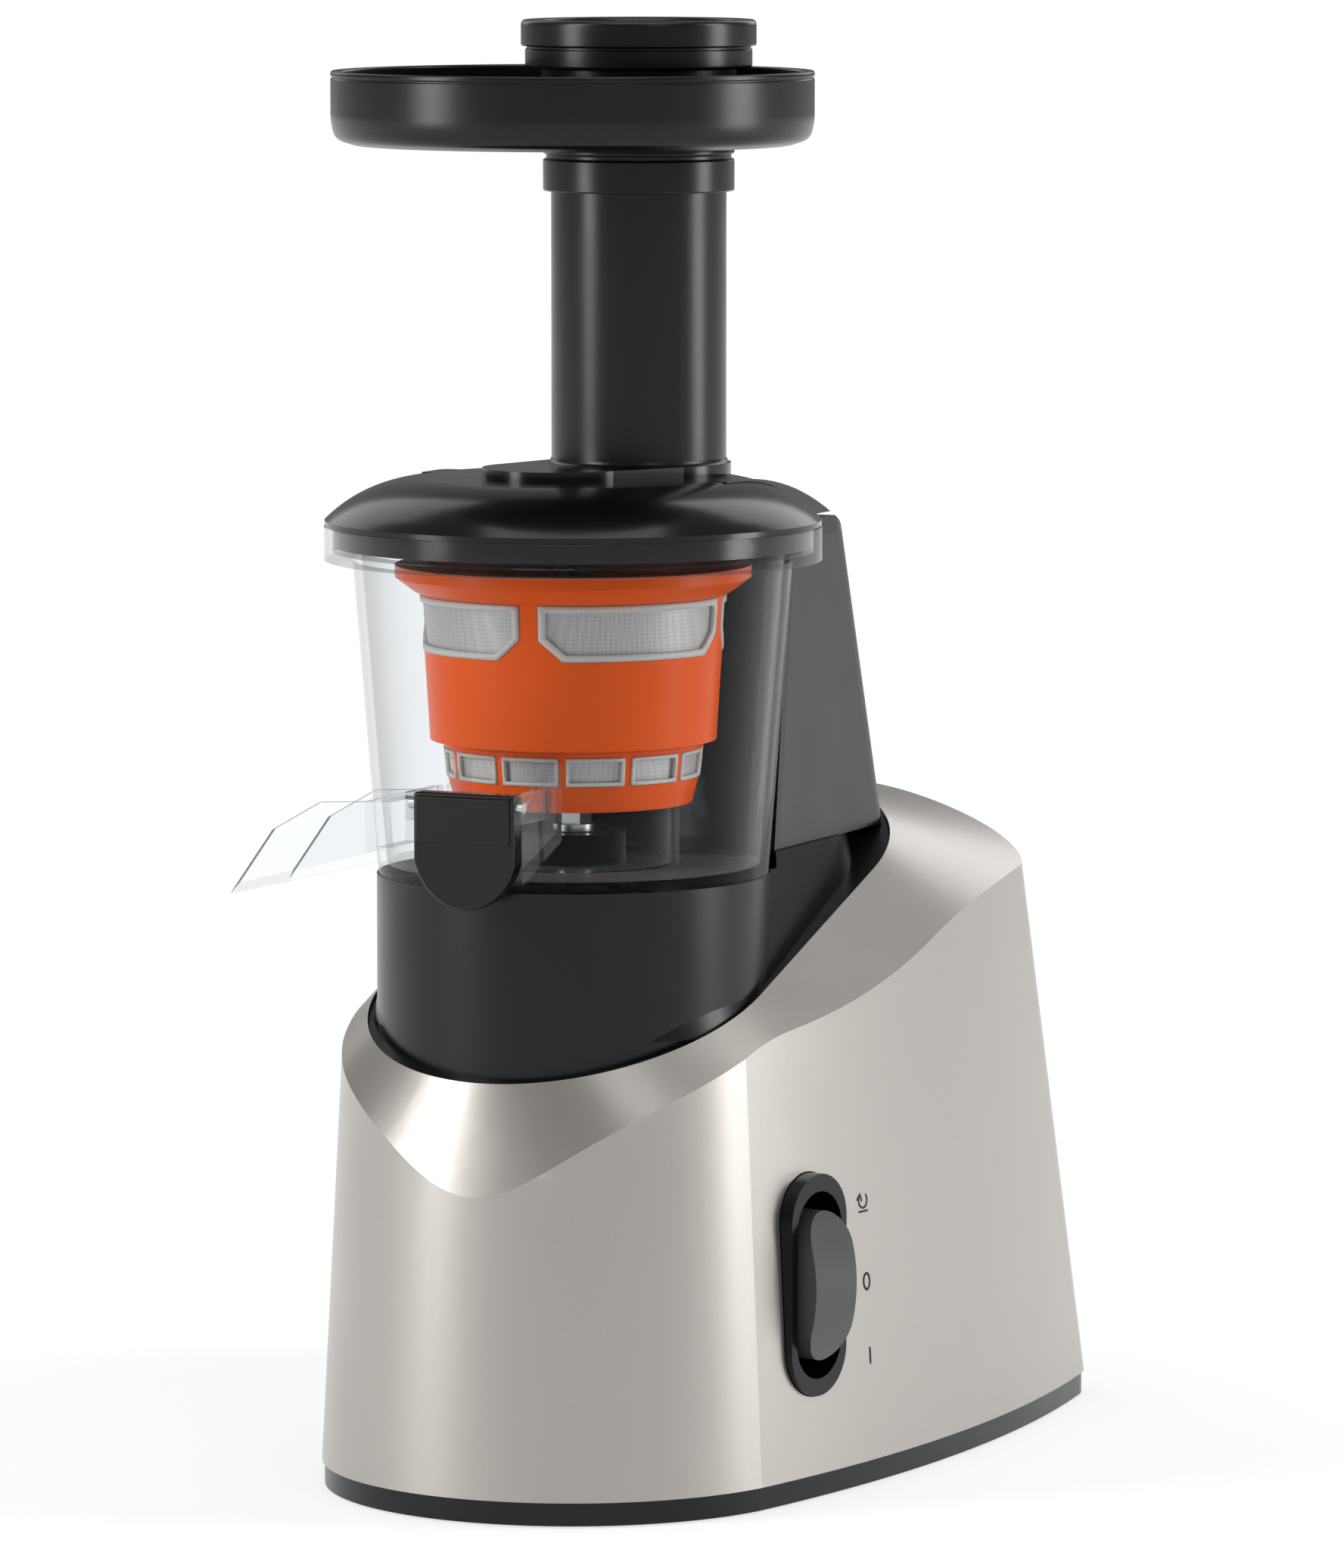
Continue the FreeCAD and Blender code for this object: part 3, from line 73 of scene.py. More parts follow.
def node_box(name):
    """Lowest and highest corners of a CAD node as vectors."""
    low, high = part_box(name)
    return Vector(low), Vector(high)


# Materials


def calculate(tree, operation, first, second, clamp=False):
    """Output of a maths node fed by an output and by another output or a number."""
    node = tree.nodes.new("ShaderNodeMath")
    node.operation = operation
    node.use_clamp = clamp
    tree.links.new(first, node.inputs[0])
    if isinstance(second, float):
        node.inputs[1].default_value = second
    else:
        tree.links.new(second, node.inputs[1])
    return node.outputs[0]


def map_range(tree, value, **limits):
    """Output of a map range node; the limits are its inputs by name, with _ for a blank."""
    node = tree.nodes.new("ShaderNodeMapRange")
    for name, limit in limits.items():
        node.inputs[name.replace("_", " ")].default_value = limit
    tree.links.new(value, node.inputs["Value"])
    return node.outputs["Result"]


def blend_shaders(tree, share, first, second, target):
    """Run the first shader and a share of the second into the surface of an output node."""
    node = tree.nodes.new("ShaderNodeMixShader")
    tree.links.new(share, node.inputs["Fac"])
    tree.links.new(first, node.inputs[1])
    tree.links.new(second, node.inputs[2])
    tree.links.new(node.outputs["Shader"], tree.nodes[target].inputs["Surface"])


class Paint:
    """Small helper around one node material."""

    def __init__(self, name, color, rough, metal=0.0):
        self.material = bpy.data.materials.new(name)
        self.material.use_nodes = True
        self.tree = self.material.node_tree
        self.shader = self.tree.nodes["Principled BSDF"]
        self.shader.inputs["Base Color"].default_value = (*color, 1.0)
        self.shader.inputs["Roughness"].default_value = rough
        self.shader.inputs["Metallic"].default_value = metal
        self.color = color
        self.place = self.tree.nodes.new("ShaderNodeTexCoord")

    def noise(self, scale, detail=4.0, stretch=(1, 1, 1)):
        """Noise factor in object space."""
        mapping = self.tree.nodes.new("ShaderNodeMapping")
        mapping.inputs["Scale"].default_value = stretch
        self.tree.links.new(self.place.outputs["Object"], mapping.inputs["Vector"])
        node = self.tree.nodes.new("ShaderNodeTexNoise")
        node.inputs["Scale"].default_value = scale
        node.inputs["Detail"].default_value = detail
        self.tree.links.new(mapping.outputs["Vector"], node.inputs["Vector"])
        return node.outputs["Fac"]

    def ramp(self, factor, low, high):
        """Number that runs from low to high as the factor goes from 0 to 1."""
        return map_range(self.tree, factor, To_Min=low, To_Max=high)

    def tint(self, factor, amount):
        """Vary the base colour a little, darker to lighter."""
        node = self.tree.nodes.new("ShaderNodeMix")
        node.data_type = "RGBA"
        dark = [channel * (1.0 - amount) for channel in self.color]
        light = [min(1.0, channel * (1.0 + amount)) for channel in self.color]
        node.inputs["A"].default_value = (*dark, 1.0)
        node.inputs["B"].default_value = (*light, 1.0)
        self.tree.links.new(factor, node.inputs["Factor"])
        self.tree.links.new(node.outputs["Result"], self.shader.inputs["Base Color"])

    def rough(self, factor, low, high):
        """Vary the roughness."""
        self.tree.links.new(self.ramp(factor, low, high), self.shader.inputs["Roughness"])

    def bump(self, factor, height, strength=0.5):
        """Fine relief."""
        node = self.tree.nodes.new("ShaderNodeBump")
        node.inputs["Strength"].default_value = strength
        node.inputs["Distance"].default_value = height
        self.tree.links.new(factor, node.inputs["Height"])
        self.tree.links.new(node.outputs["Normal"], self.shader.inputs["Normal"])


def plastic(name, color, rough, grain=900.0, relief=0.00002, coat=0.0, spread=0.12, shine=0.5):
    """Moulded plastic with a fine grain, slight colour and gloss variation."""
    paint = Paint(name, color, rough)
    paint.shader.inputs["Specular IOR Level"].default_value = shine
    paint.tint(paint.noise(scale=14.0, detail=3.0), spread)
    paint.rough(paint.noise(scale=60.0, detail=2.0), low=rough * 0.85, high=rough * 1.15)
    paint.bump(paint.noise(grain, detail=2.0), relief, strength=0.4)
    paint.shader.inputs["Coat Weight"].default_value = coat
    paint.shader.inputs["Coat Roughness"].default_value = 0.08
    return paint.material


def metal(name, color, rough, stretch=(1, 1, 1), grain=260.0):
    """Bare metal with a turned or brushed grain."""
    paint = Paint(name, color, rough, metal=1.0)
    streak = paint.noise(grain, detail=3.0, stretch=stretch)
    paint.tint(streak, amount=0.12)
    paint.rough(streak, low=rough * 0.8, high=rough * 1.25)
    paint.bump(streak, height=0.00001, strength=0.3)
    return paint.material


def silver_paint():
    """Warm champagne silver paint with fine metal flake under a clear coat."""
    paint = Paint("champagne_silver", (0.47, 0.445, 0.415), rough=0.36, metal=0.85)
    flake = paint.noise(scale=2600.0, detail=1.0)
    paint.tint(flake, amount=0.07)
    paint.rough(paint.noise(scale=40.0, detail=2.0), low=0.33, high=0.39)
    paint.bump(flake, height=0.000006, strength=0.25)
    paint.shader.inputs["Coat Weight"].default_value = 0.25
    paint.shader.inputs["Coat Roughness"].default_value = 0.22
    return paint.material


def clear_plastic():
    """Clear copolyester wall: see-through face on, and shiny where it is seen edge on, where painted
    grey stands in for the refraction there.
    """
    # Painted refraction: this grey shows where the wall is seen edge on, standing in for the
    # refraction clear plastic shows there.
    paint = Paint("clear_copolyester", (0.42, 0.43, 0.44), rough=0.06)
    paint.bump(paint.noise(scale=22.0, detail=2.0), height=0.0003, strength=0.05)
    tree = paint.tree
    passing = tree.nodes.new("ShaderNodeBsdfTransparent")
    passing.inputs["Color"].default_value = (0.955, 0.965, 0.97, 1.0)
    slant = tree.nodes.new("ShaderNodeLayerWeight")
    slant.inputs["Blend"].default_value = 0.5
    steep = calculate(tree, "POWER", slant.outputs["Facing"], 3.5)
    share = map_range(tree, steep, To_Min=0.01, To_Max=0.62)
    ways = tree.nodes.new("ShaderNodeLightPath")
    lit = calculate(tree, "SUBTRACT", share, ways.outputs["Is Shadow Ray"], clamp=True)
    blend_shaders(tree, lit, passing.outputs["BSDF"], paint.shader.outputs["BSDF"], "Material Output")
    return paint.material


def mesh_steel():
    """Fine etched steel mesh: close rows of tiny holes as a dotted relief, with painted shade
    darkening each hole.
    """
    paint = Paint("etched_mesh", (0.43, 0.42, 0.41), rough=0.42, metal=0.3)
    holes = paint.tree.nodes.new("ShaderNodeTexVoronoi")
    holes.inputs["Scale"].default_value = 900.0
    holes.inputs["Randomness"].default_value = 0.0
    paint.tree.links.new(paint.place.outputs["Object"], holes.inputs["Vector"])
    # Painted shade: each hole's middle is darkened, standing in for the shade seen through it.
    hole_shade = paint.ramp(holes.outputs["Distance"], 0.0, 1.0)
    paint.tint(hole_shade, amount=0.25)
    paint.bump(hole_shade, height=0.00006, strength=0.5)
    return paint.material


def orange_plastic():
    """Strong orange moulded plastic with a soft gloss."""
    paint = Paint("orange_plastic", (0.78, 0.092, 0.002), rough=0.36)
    paint.tint(paint.noise(scale=18.0, detail=2.0), amount=0.08)
    paint.rough(paint.noise(scale=70.0, detail=2.0), low=0.30, high=0.38)
    paint.bump(paint.noise(scale=500.0, detail=2.0), height=0.00002, strength=0.3)
    paint.shader.inputs["Specular IOR Level"].default_value = 0.15
    return paint.material


materials = {
    "silver": silver_paint(),
    "black_gloss": plastic("black_polished", (0.003, 0.003, 0.0033), 0.2, grain=300.0,
                           relief=0.000004, coat=0.05, shine=0.3),
    "black_satin": plastic("black_satin", (0.0045, 0.0043, 0.0043), 0.28, shine=0.32),
    "grey_panel": plastic("grey_panel", (0.04, 0.039, 0.038), 0.42, shine=0.35),
    "rubber": plastic("rubber_black", (0.02, 0.02, 0.02), 0.7, grain=700.0, relief=0.00005),
    "steel": metal("turned_steel", (0.62, 0.61, 0.59), 0.3, stretch=(1, 1, 20)),
    "copper_iron": metal("laminated_stack", (0.35, 0.24, 0.18), 0.5, stretch=(1, 1, 60)),
    "bronze": metal("sintered_bronze", (0.55, 0.40, 0.22), 0.45),
    "white_nylon": plastic("natural_nylon", (0.74, 0.73, 0.68), 0.45),
    "dark_nylon": plastic("filled_nylon", (0.05, 0.05, 0.055), 0.55),
    "board_green": plastic("coated_board", (0.03, 0.18, 0.08), 0.4),
    "clear": clear_plastic(),
    "orange": orange_plastic(),
    "steel_mesh": mesh_steel(),
    "frame_pale": plastic("window_frame_pale", (0.52, 0.51, 0.49), 0.45),
    # Painted refraction: flat grey on the clear walls' cut edges stands in for the refraction seen
    # there.
    "edge_refraction_grey": plastic("clear_cut_edge_painted_refraction", (0.42, 0.43, 0.44), 0.3),
    "paddle_grey": plastic("paddle_grey", (0.055, 0.054, 0.053), 0.34),
}
slots = {part["node"]: part["material_slot"] for part in frame["record"]["subparts"]}
LOOKS = {"rocker_paddle": "paddle_grey"}
for name, obj in frame["nodes"].items():
    for index in range(max(1, len(obj.material_slots))):
        look = materials[LOOKS.get(name, slots[name])]
        if len(obj.material_slots) <= index:
            obj.data.materials.append(look)
        else:
            obj.material_slots[index].material = look


# Cut edges of the two open chutes, painted grey for the refraction clear plastic shows there; lengths
# in metres

EDGE_WALL = 0.0022
PULP_SIDE = 0.019 - EDGE_WALL
SPOUT_SIDE = 0.015 - EDGE_WALL
CHUTE_START = 0.060
PULP_TIP = 0.098
FACES_UP = 0.3
FACES_OUT = 0.9
bowl_mesh = frame["nodes"]["juice_bowl"].data
# Painted refraction: the grey cut-edge material goes on these faces.
bowl_mesh.materials.append(materials["edge_refraction_grey"])
for face in bowl_mesh.polygons:
    place, way = face.center, face.normal
    beside = abs(place.y) > PULP_SIDE and place.x < -CHUTE_START
    before = abs(place.x) > SPOUT_SIDE and place.y < -CHUTE_START
    at_tip = place.x < -PULP_TIP and way.x < -FACES_OUT
    if (beside or before) and way.z > FACES_UP or at_tip:
        face.material_index = len(bowl_mesh.materials) - 1


# Mesh helpers

MM = 1000.0


def finish_piece(obj, body, slot, *nodes, look=None):
    """Give a piece its body and its material, the look or else the slot's, and hide the CAD nodes it
    stands for.
    """
    obj.data.materials.clear()
    obj.data.materials.append(materials[look or slot])
    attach(obj, body)
    if nodes:
        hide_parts(*nodes)
    return obj


def mesh_object(name, points, faces, smooth=True):
    """Mesh object from points and faces."""
    mesh = bpy.data.meshes.new(name)
    mesh.from_pydata([tuple(point) for point in points], [], faces)
    mesh.update()
    obj = bpy.data.objects.new(name, mesh)
    bpy.context.scene.collection.objects.link(obj)
    work = bmesh.new()
    work.from_mesh(mesh)
    bmesh.ops.recalc_face_normals(work, faces=work.faces)
    work.to_mesh(mesh)
    work.free()
    for face in mesh.polygons:
        face.use_smooth = smooth
    return obj


def rounded(corners, segments=5):
    """Open or closed outline of (radius, height, rounding) with its corners rounded."""
    count = len(corners)
    out = []
    for index, (radius, height, turn) in enumerate(corners):
        here = Vector((radius, height))
        before = Vector(corners[index - 1][:2])
        after = Vector(corners[(index + 1) % count][:2])
        if turn <= 0.0:
            out.append(here)
            continue
        to_before = (before - here)
        to_after = (after - here)
        reach = min(turn, to_before.length * 0.49, to_after.length * 0.49)
        start = here + to_before.normalized() * reach
        end = here + to_after.normalized() * reach
        for step in range(segments + 1):
            share = step / segments
            a = start.lerp(here, share)
            b = here.lerp(end, share)
            out.append(a.lerp(b, share))
    return out


def lathe(name, corners, centre=(0.0, 0.0), turns=128, segments=5, hole=None):
    """Closed ring solid: an outline of (radius, height, rounding) in mm turned about an axis.

    A hole gives the inner ring its own axis: its centre in metres and the radius below which
    the outline's points belong to it.
    """
    outline = rounded(corners, segments)
    points = []
    faces = []
    size = len(outline)
    for turn in range(turns):
        angle = 2.0 * math.pi * turn / turns
        for spot in outline:
            middle = hole[0] if hole and spot.x <= hole[1] else centre
            points.append((middle[0] + spot.x * math.cos(angle) / MM,
                           middle[1] + spot.x * math.sin(angle) / MM, spot.y / MM))
    for turn in range(turns):
        following = (turn + 1) % turns
        for index in range(size):
            after = (index + 1) % size
            faces.append((turn * size + index, following * size + index,
                          following * size + after, turn * size + after))
    obj = mesh_object(name, points, faces)
    weighted = obj.modifiers.new("normals", "WEIGHTED_NORMAL")
    weighted.keep_sharp = True
    return obj


# Tray, tube and pusher: outlines of (radius, height, rounding) in mm


def box_mm(node, corner, axis):
    """One coordinate of a node's box in millimetres."""
    return node_box(node)[corner][axis] * MM


def groove(radius, low, high, deep, slope):
    """Corners of a shallow groove round a piece, with sloping sides."""
    return [(radius, low, 0.3), (radius - deep, low + slope, 0.1),
            (radius - deep, high - slope, 0.1), (radius, high, 0.3)]


LOW, HIGH = 0, 1
X, Y, Z = 0, 1, 2
WALL = 2.4
GAP = 0.3
tube_r = (box_mm("feed_tube", HIGH, X) - box_mm("feed_tube", LOW, X)) / 2
tube_in = tube_r - WALL
tube_low = box_mm("feed_tube", LOW, Z)
tube_top = box_mm("feed_tube", HIGH, Z)
tube_centre = tuple((box_mm("feed_tube", LOW, axis) + box_mm("feed_tube", HIGH, axis)) / 2 / MM
                    for axis in (X, Y))
TUBE_TURNS = 144

DISH_DEEP = 21.0
DISH_ROUND = 6.5
RIM_ROUND = 0.9
tray_r = (box_mm("tray", HIGH, X) - box_mm("tray", LOW, X)) / 2
tray_z = box_mm("tray", HIGH, Z)
collar_z = box_mm("tray", LOW, Z)
dish_z = tray_z - DISH_DEEP
dish_in = tray_r - WALL
tray = lathe("tray_dish", [
    (tube_in, dish_z, 0.0), (tray_r - DISH_ROUND, dish_z, 0.6), (tray_r - 1.2, dish_z + 1.6, 4.5),
    (tray_r, dish_z + DISH_ROUND, 4.0),
    *groove(tray_r, tray_z - 2.2, tray_z - 1.4, deep=0.35, slope=0.2),
    (tray_r, tray_z, RIM_ROUND), (dish_in, tray_z, RIM_ROUND), (dish_in, dish_z + DISH_ROUND, 4.0),
    (tray_r - DISH_ROUND, dish_z + WALL, 2.0), (tube_in, dish_z + WALL, 0.0),
], turns=180, hole=(tube_centre, tube_in + 0.1))
finish_piece(tray, "tray", "black_satin", "tray")
collar_in = tube_r + GAP
collar_r = tube_r + 2.3
collar = lathe("tray_collar", [
    (collar_in, collar_z, 0.0), (collar_r, collar_z, 0.5),
    *groove(collar_r, dish_z - 5.0, dish_z - 3.2, deep=0.9, slope=0.4),
    (collar_r, dish_z, 0.0), (collar_in, dish_z, 0.0)], tube_centre, TUBE_TURNS)
finish_piece(collar, "tray", "black_satin")

feed = lathe("feed_tube_shell", [
    (tube_r, tube_low, 0.0), (tube_r, tube_top, 0.5), (tube_in, tube_top, 0.5),
    (tube_in, tube_low, 0.0)], tube_centre, TUBE_TURNS)
finish_piece(feed, "lid", "black_satin", "feed_tube")
lid_z = box_mm("lid", HIGH, Z)
ROOT_OFF = 0.02
root = lathe("feed_tube_root", [
    (tube_r + ROOT_OFF, lid_z, 0.0), (tube_r + 1.2, lid_z, 0.2), (tube_r + 0.4, lid_z + 0.5, 0.5),
    (tube_r + ROOT_OFF, lid_z + 1.5, 0.1)], tube_centre, TUBE_TURNS)
finish_piece(root, "lid", "black_satin")

SHAFT_WALL = 2.2
SEAT_RADIUS = 28.0
HEAD_TALL = 8.5
NECK_IN = 1.2
NECK_GROOVE = 1.6
FOOT_TALL = 2.0
FOOT_BORE = 4.0
push_r = (box_mm("pusher", HIGH, X) - box_mm("pusher", LOW, X)) / 2
push_z = box_mm("pusher", HIGH, Z)
shaft_r = (box_mm("pusher_foot", HIGH, X) - box_mm("pusher_foot", LOW, X)) / 2
shaft_z = box_mm("pusher", LOW, Z)
seat_z = dish_z + WALL + GAP
above_rim = tray_z + GAP
neck_z = push_z - HEAD_TALL
pusher = lathe("pusher_body", [
    (shaft_r - SHAFT_WALL, shaft_z, 0.0), (shaft_r, shaft_z, 0.3), (shaft_r, seat_z, 0.3),
    (SEAT_RADIUS, seat_z, 0.5), (SEAT_RADIUS, above_rim, 0.5), (push_r - NECK_IN, above_rim, 0.8),
    (push_r - NECK_IN, neck_z, 0.2), (push_r - NECK_GROOVE, neck_z + 0.2, 0.1),
    (push_r - NECK_GROOVE, neck_z + 0.9, 0.1), (push_r, neck_z + 1.0, 0.5), (push_r, push_z, 1.6),
    (push_r - 5.0, push_z, 1.2), (push_r - 6.0, push_z - 2.4, 1.5),
    (shaft_r + 1.5, push_z - 3.0, 1.2), (shaft_r - SHAFT_WALL, push_z - 6.0, 1.5)],
    tube_centre, turns=160)
finish_piece(pusher, "pusher", "black_satin", "pusher")
foot = lathe("pusher_end", [
    (FOOT_BORE, shaft_z - FOOT_TALL, 0.4), (shaft_r, shaft_z - FOOT_TALL, 0.8),
    (shaft_r, shaft_z, 0.0), (FOOT_BORE, shaft_z, 0.0)], tube_centre, turns=96)
finish_piece(foot, "pusher", "black_satin", "pusher_foot")


# Switch marks on the housing's side


def on_housing(along, up):
    """Point of the housing's +X side and its outward normal, from a place along Y and Z in metres."""
    outside = cad_box[1][0] + 0.2
    _, place, normal, _ = frame["nodes"]["outer_housing"].ray_cast(
        Vector((outside, along, up)), Vector((-1, 0, 0)))
    return place, normal


PRINT_LIFTS = (0.03, 0.10)
STROKE_END = 0.3


def mark(name, strokes, along, up, thick):
    """Printed mark: flat strokes laid on the housing, each a polyline in mm across and up."""
    points = []
    faces = []
    for stroke in strokes:
        for start, end in zip(stroke, stroke[1:]):
            way = Vector((end[0] - start[0], end[1] - start[1]))
            length = way.length
            way.normalize()
            normal = Vector((-way.y, way.x)) * thick / 2
            first = Vector(start) - way * thick * STROKE_END
            last = Vector(start) + way * (length + thick * STROKE_END)
            corners = [first - normal, last - normal, last + normal, first + normal]
            base = len(points)
            for lift in PRINT_LIFTS:
                for corner in corners:
                    place, outward = on_housing(along + corner.x / MM, up + corner.y / MM)
                    points.append(place + outward * lift / MM)
            faces += [(base + 4, base + 5, base + 6, base + 7), (base + 3, base + 2, base + 1, base)]
            faces += [(base + i, base + (i + 1) % 4, base + 4 + (i + 1) % 4, base + 4 + i)
                      for i in range(4)]
    obj = mesh_object(name, points, faces, False)
    return finish_piece(obj, "base", "black_satin")


def ring_points(across, up, radius_x, radius_y, start=0.0, end=360.0, count=20):
    """Polyline round an oval or part of one."""
    return [(across + radius_x * math.cos(math.radians(start + (end - start) * i / count)),
             up + radius_y * math.sin(math.radians(start + (end - start) * i / count)))
            for i in range(count + 1)]


bezel_low, bezel_high = node_box("switch_bezel")
MARK_BESIDE = 0.013
MARK_DOWN = 0.003
ONE_BELOW = 0.0215
REVERSE_ABOVE = 0.0235
mark_along = bezel_high.y + MARK_BESIDE
mark_mid = (bezel_low.z + bezel_high.z) / 2 - MARK_DOWN
arrow = ring_points(0, 0, radius_x=2.2, radius_y=2.2, start=130, end=400)
arrow_head = [(-3.0, 0.4), (-1.4, 1.9), (-0.6, -0.1)]
underline = [(-2.2, -3.2), (2.2, -3.2)]
mark("mark_zero", [ring_points(0, 0, radius_x=1.6, radius_y=2.3)], mark_along, mark_mid, thick=0.7)
mark("mark_one", [[(0, -2.2), (0, 2.2)]], mark_along, mark_mid - ONE_BELOW, thick=0.8)
mark("mark_reverse", [arrow, arrow_head, underline], mark_along, mark_mid + REVERSE_ABOVE, thick=0.6)


# Pale frames round the strainer basket's windows

upper_z = (box_mm("upper_mesh", LOW, Z), box_mm("upper_mesh", HIGH, Z))
lower_z = (box_mm("lower_mesh", LOW, Z), box_mm("lower_mesh", HIGH, Z))
FRAME_RADIUS = 41.0
FRAME_PROUD = 0.35
FRAME_DEEP = 1.2
WINDOW_INSET = 0.1
# Height and outer radius of the basket's wall where its slope changes, in mm
WALL_KNOTS = [(lower_z[LOW] - 7.5, 34.0), (lower_z[LOW], 36.0), (lower_z[HIGH] + 1.2, 37.0),
              (lower_z[HIGH] + 2.2, 41.0), (upper_z[HIGH], 43.6)]


def wall_radius(height):
    """Outer radius of the basket's wall at a height in mm."""
    for (low, low_r), (high, high_r) in zip(WALL_KNOTS, WALL_KNOTS[1:]):
        if height <= high:
            return low_r + (high_r - low_r) * max(0.0, height - low) / (high - low)
    return WALL_KNOTS[-1][1]


SHARPEST_LEAN = 0.3


def inset_path(path, reach):
    """Closed convex path of (across, up) points moved inwards."""
    out = []
    count = len(path)
    for index in range(count):
        before, here, after = (Vector(path[index - 1]), Vector(path[index]),
                               Vector(path[(index + 1) % count]))
        first = (here - before).normalized()
        second = (after - here).normalized()
        normal = Vector((-first.y - second.y, first.x + second.x)).normalized()
        lean = max(SHARPEST_LEAN, normal.dot(Vector((-first.y, first.x))))
        out.append(here + normal * (reach / lean))
    return out


def window_frame(path, rim, pace=2.0):
    """Raised frame along a closed path of (arc length, height) on the basket's wall, in mm."""
    inner = inset_path(path, rim)
    rings = [[], []]
    count = len(path)
    for index in range(count):
        following = (index + 1) % count
        span = (Vector(path[following]) - Vector(path[index])).length
        steps = max(1, round(span / pace))
        for step in range(steps):
            for ring, points in zip(rings, (path, inner)):
                ring.append(Vector(points[index]).lerp(Vector(points[following]), step / steps))
    vertices = []
    for side in (FRAME_PROUD, -FRAME_DEEP):
        for ring in rings:
            for point in ring:
                radius = wall_radius(point.y) + side
                angle = point.x / FRAME_RADIUS
                vertices.append((radius * math.cos(angle) / MM, radius * math.sin(angle) / MM,
                                 point.y / MM))
    size = len(rings[0])
    faces = []
    for index in range(size):
        after = (index + 1) % size
        for near, far in ((0, 1), (1, 3), (3, 2), (2, 0)):
            faces.append((near * size + index, near * size + after, far * size + after,
                          far * size + index))
    return mesh_object("edge", vertices, faces, False)


def join(name, objects):
    """One object from several."""
    work = bmesh.new()
    for obj in objects:
        work.from_mesh(obj.data)
        bpy.data.objects.remove(obj)
    mesh = bpy.data.meshes.new(name)
    work.to_mesh(mesh)
    work.free()
    for face in mesh.polygons:
        face.use_smooth = True
    obj = bpy.data.objects.new(name, mesh)
    bpy.context.scene.collection.objects.link(obj)
    return obj


def window_frames(name, count, middle, bar, tier, rim, hump_run=0.0, hump_rise=0.0):
    """Pale moulded frame round each window of one tier, its lower corners cut off by the humps."""
    frames = []
    low, high = tier[LOW] + WINDOW_INSET, tier[HIGH] - WINDOW_INSET
    step = 2.0 * math.pi * FRAME_RADIUS / count
    for index in range(count):
        centre = math.radians(middle) * FRAME_RADIUS + index * step
        start = centre - step / 2 + bar / 2
        end = centre + step / 2 - bar / 2
        if hump_run:
            path = [(start + hump_run, low), (end - hump_run, low), (end, low + hump_rise),
                    (end, high), (start, high), (start, low + hump_rise)]
        else:
            path = [(start, low), (end, low), (end, high), (start, high)]
        frames.append(window_frame(path, rim))
    return join(name, frames)


upper_frames = window_frames("upper_window_frames", count=4, middle=-37.0, bar=5.4, tier=upper_z,
                             rim=1.9, hump_run=6.6, hump_rise=6.0)
finish_piece(upper_frames, "basket", "orange", look="frame_pale")
lower_frames = window_frames("lower_window_frames", count=12, middle=5.0, bar=2.4, tier=lower_z,
                             rim=1.1)
finish_piece(lower_frames, "basket", "orange", look="frame_pale")


# Drip stopper: rounded black block with a raised face and a chin


def slab(name, outline, near, far, bevel):
    """Prism of an (x, z) outline in mm between two y places in mm, with rounded edges."""
    count = len(outline)
    points = [(x / MM, near / MM, z / MM) for x, z in outline]
    points += [(x / MM, far / MM, z / MM) for x, z in outline]
    faces = [tuple(range(count)), tuple(reversed(range(count, 2 * count)))]
    faces += [(i, (i + 1) % count, count + (i + 1) % count, count + i) for i in range(count)]
    obj = mesh_object(name, points, faces)
    edge = obj.modifiers.new("bevel", "BEVEL")
    edge.width = bevel / MM
    edge.segments = 4
    edge.limit_method = "ANGLE"
    edge.angle_limit = math.radians(40)
    edge.harden_normals = True
    return obj


CHIN_STEPS = 24
CHIN_TALL = 13.0
CHIN_WIDE = 0.98
CHIN_NARROWING = 0.14
FACE_PROUD = 0.8
FACE_THICK = 1.0
FACE_INSET = 1.2
FACE_ABOVE_CHIN = 6.0
half = box_mm("drip_stopper", HIGH, X)
top = box_mm("drip_stopper", HIGH, Z)
low = box_mm("drip_stopper", LOW, Z)
front = box_mm("drip_stopper", LOW, Y)
back = box_mm("drip_stopper", HIGH, Y)
waist = low + CHIN_TALL
chin_angles = [math.pi * step / CHIN_STEPS for step in range(1, CHIN_STEPS)]
chin = [(half * math.cos(angle) * (CHIN_WIDE - CHIN_NARROWING * math.sin(angle)),
         waist - CHIN_TALL * math.sin(angle)) for angle in chin_angles]
block = slab("drip_stopper_block", [(-half, top), (half, top), (half, waist), *chin, (-half, waist)],
             front + FACE_PROUD, back, bevel=1.1)
finish_piece(block, "stopper", "black_gloss", "drip_stopper")
plate_half = half - FACE_INSET
plate_top = top - FACE_INSET
plate_low = waist + FACE_ABOVE_CHIN
plate = slab("drip_stopper_face", [(-plate_half, plate_top), (plate_half, plate_top),
                                   (plate_half, plate_low), (-plate_half, plate_low)],
             front, front + FACE_THICK, bevel=0.4)
finish_piece(plate, "stopper", "black_satin")


# Stage: white floor, soft lights, camera


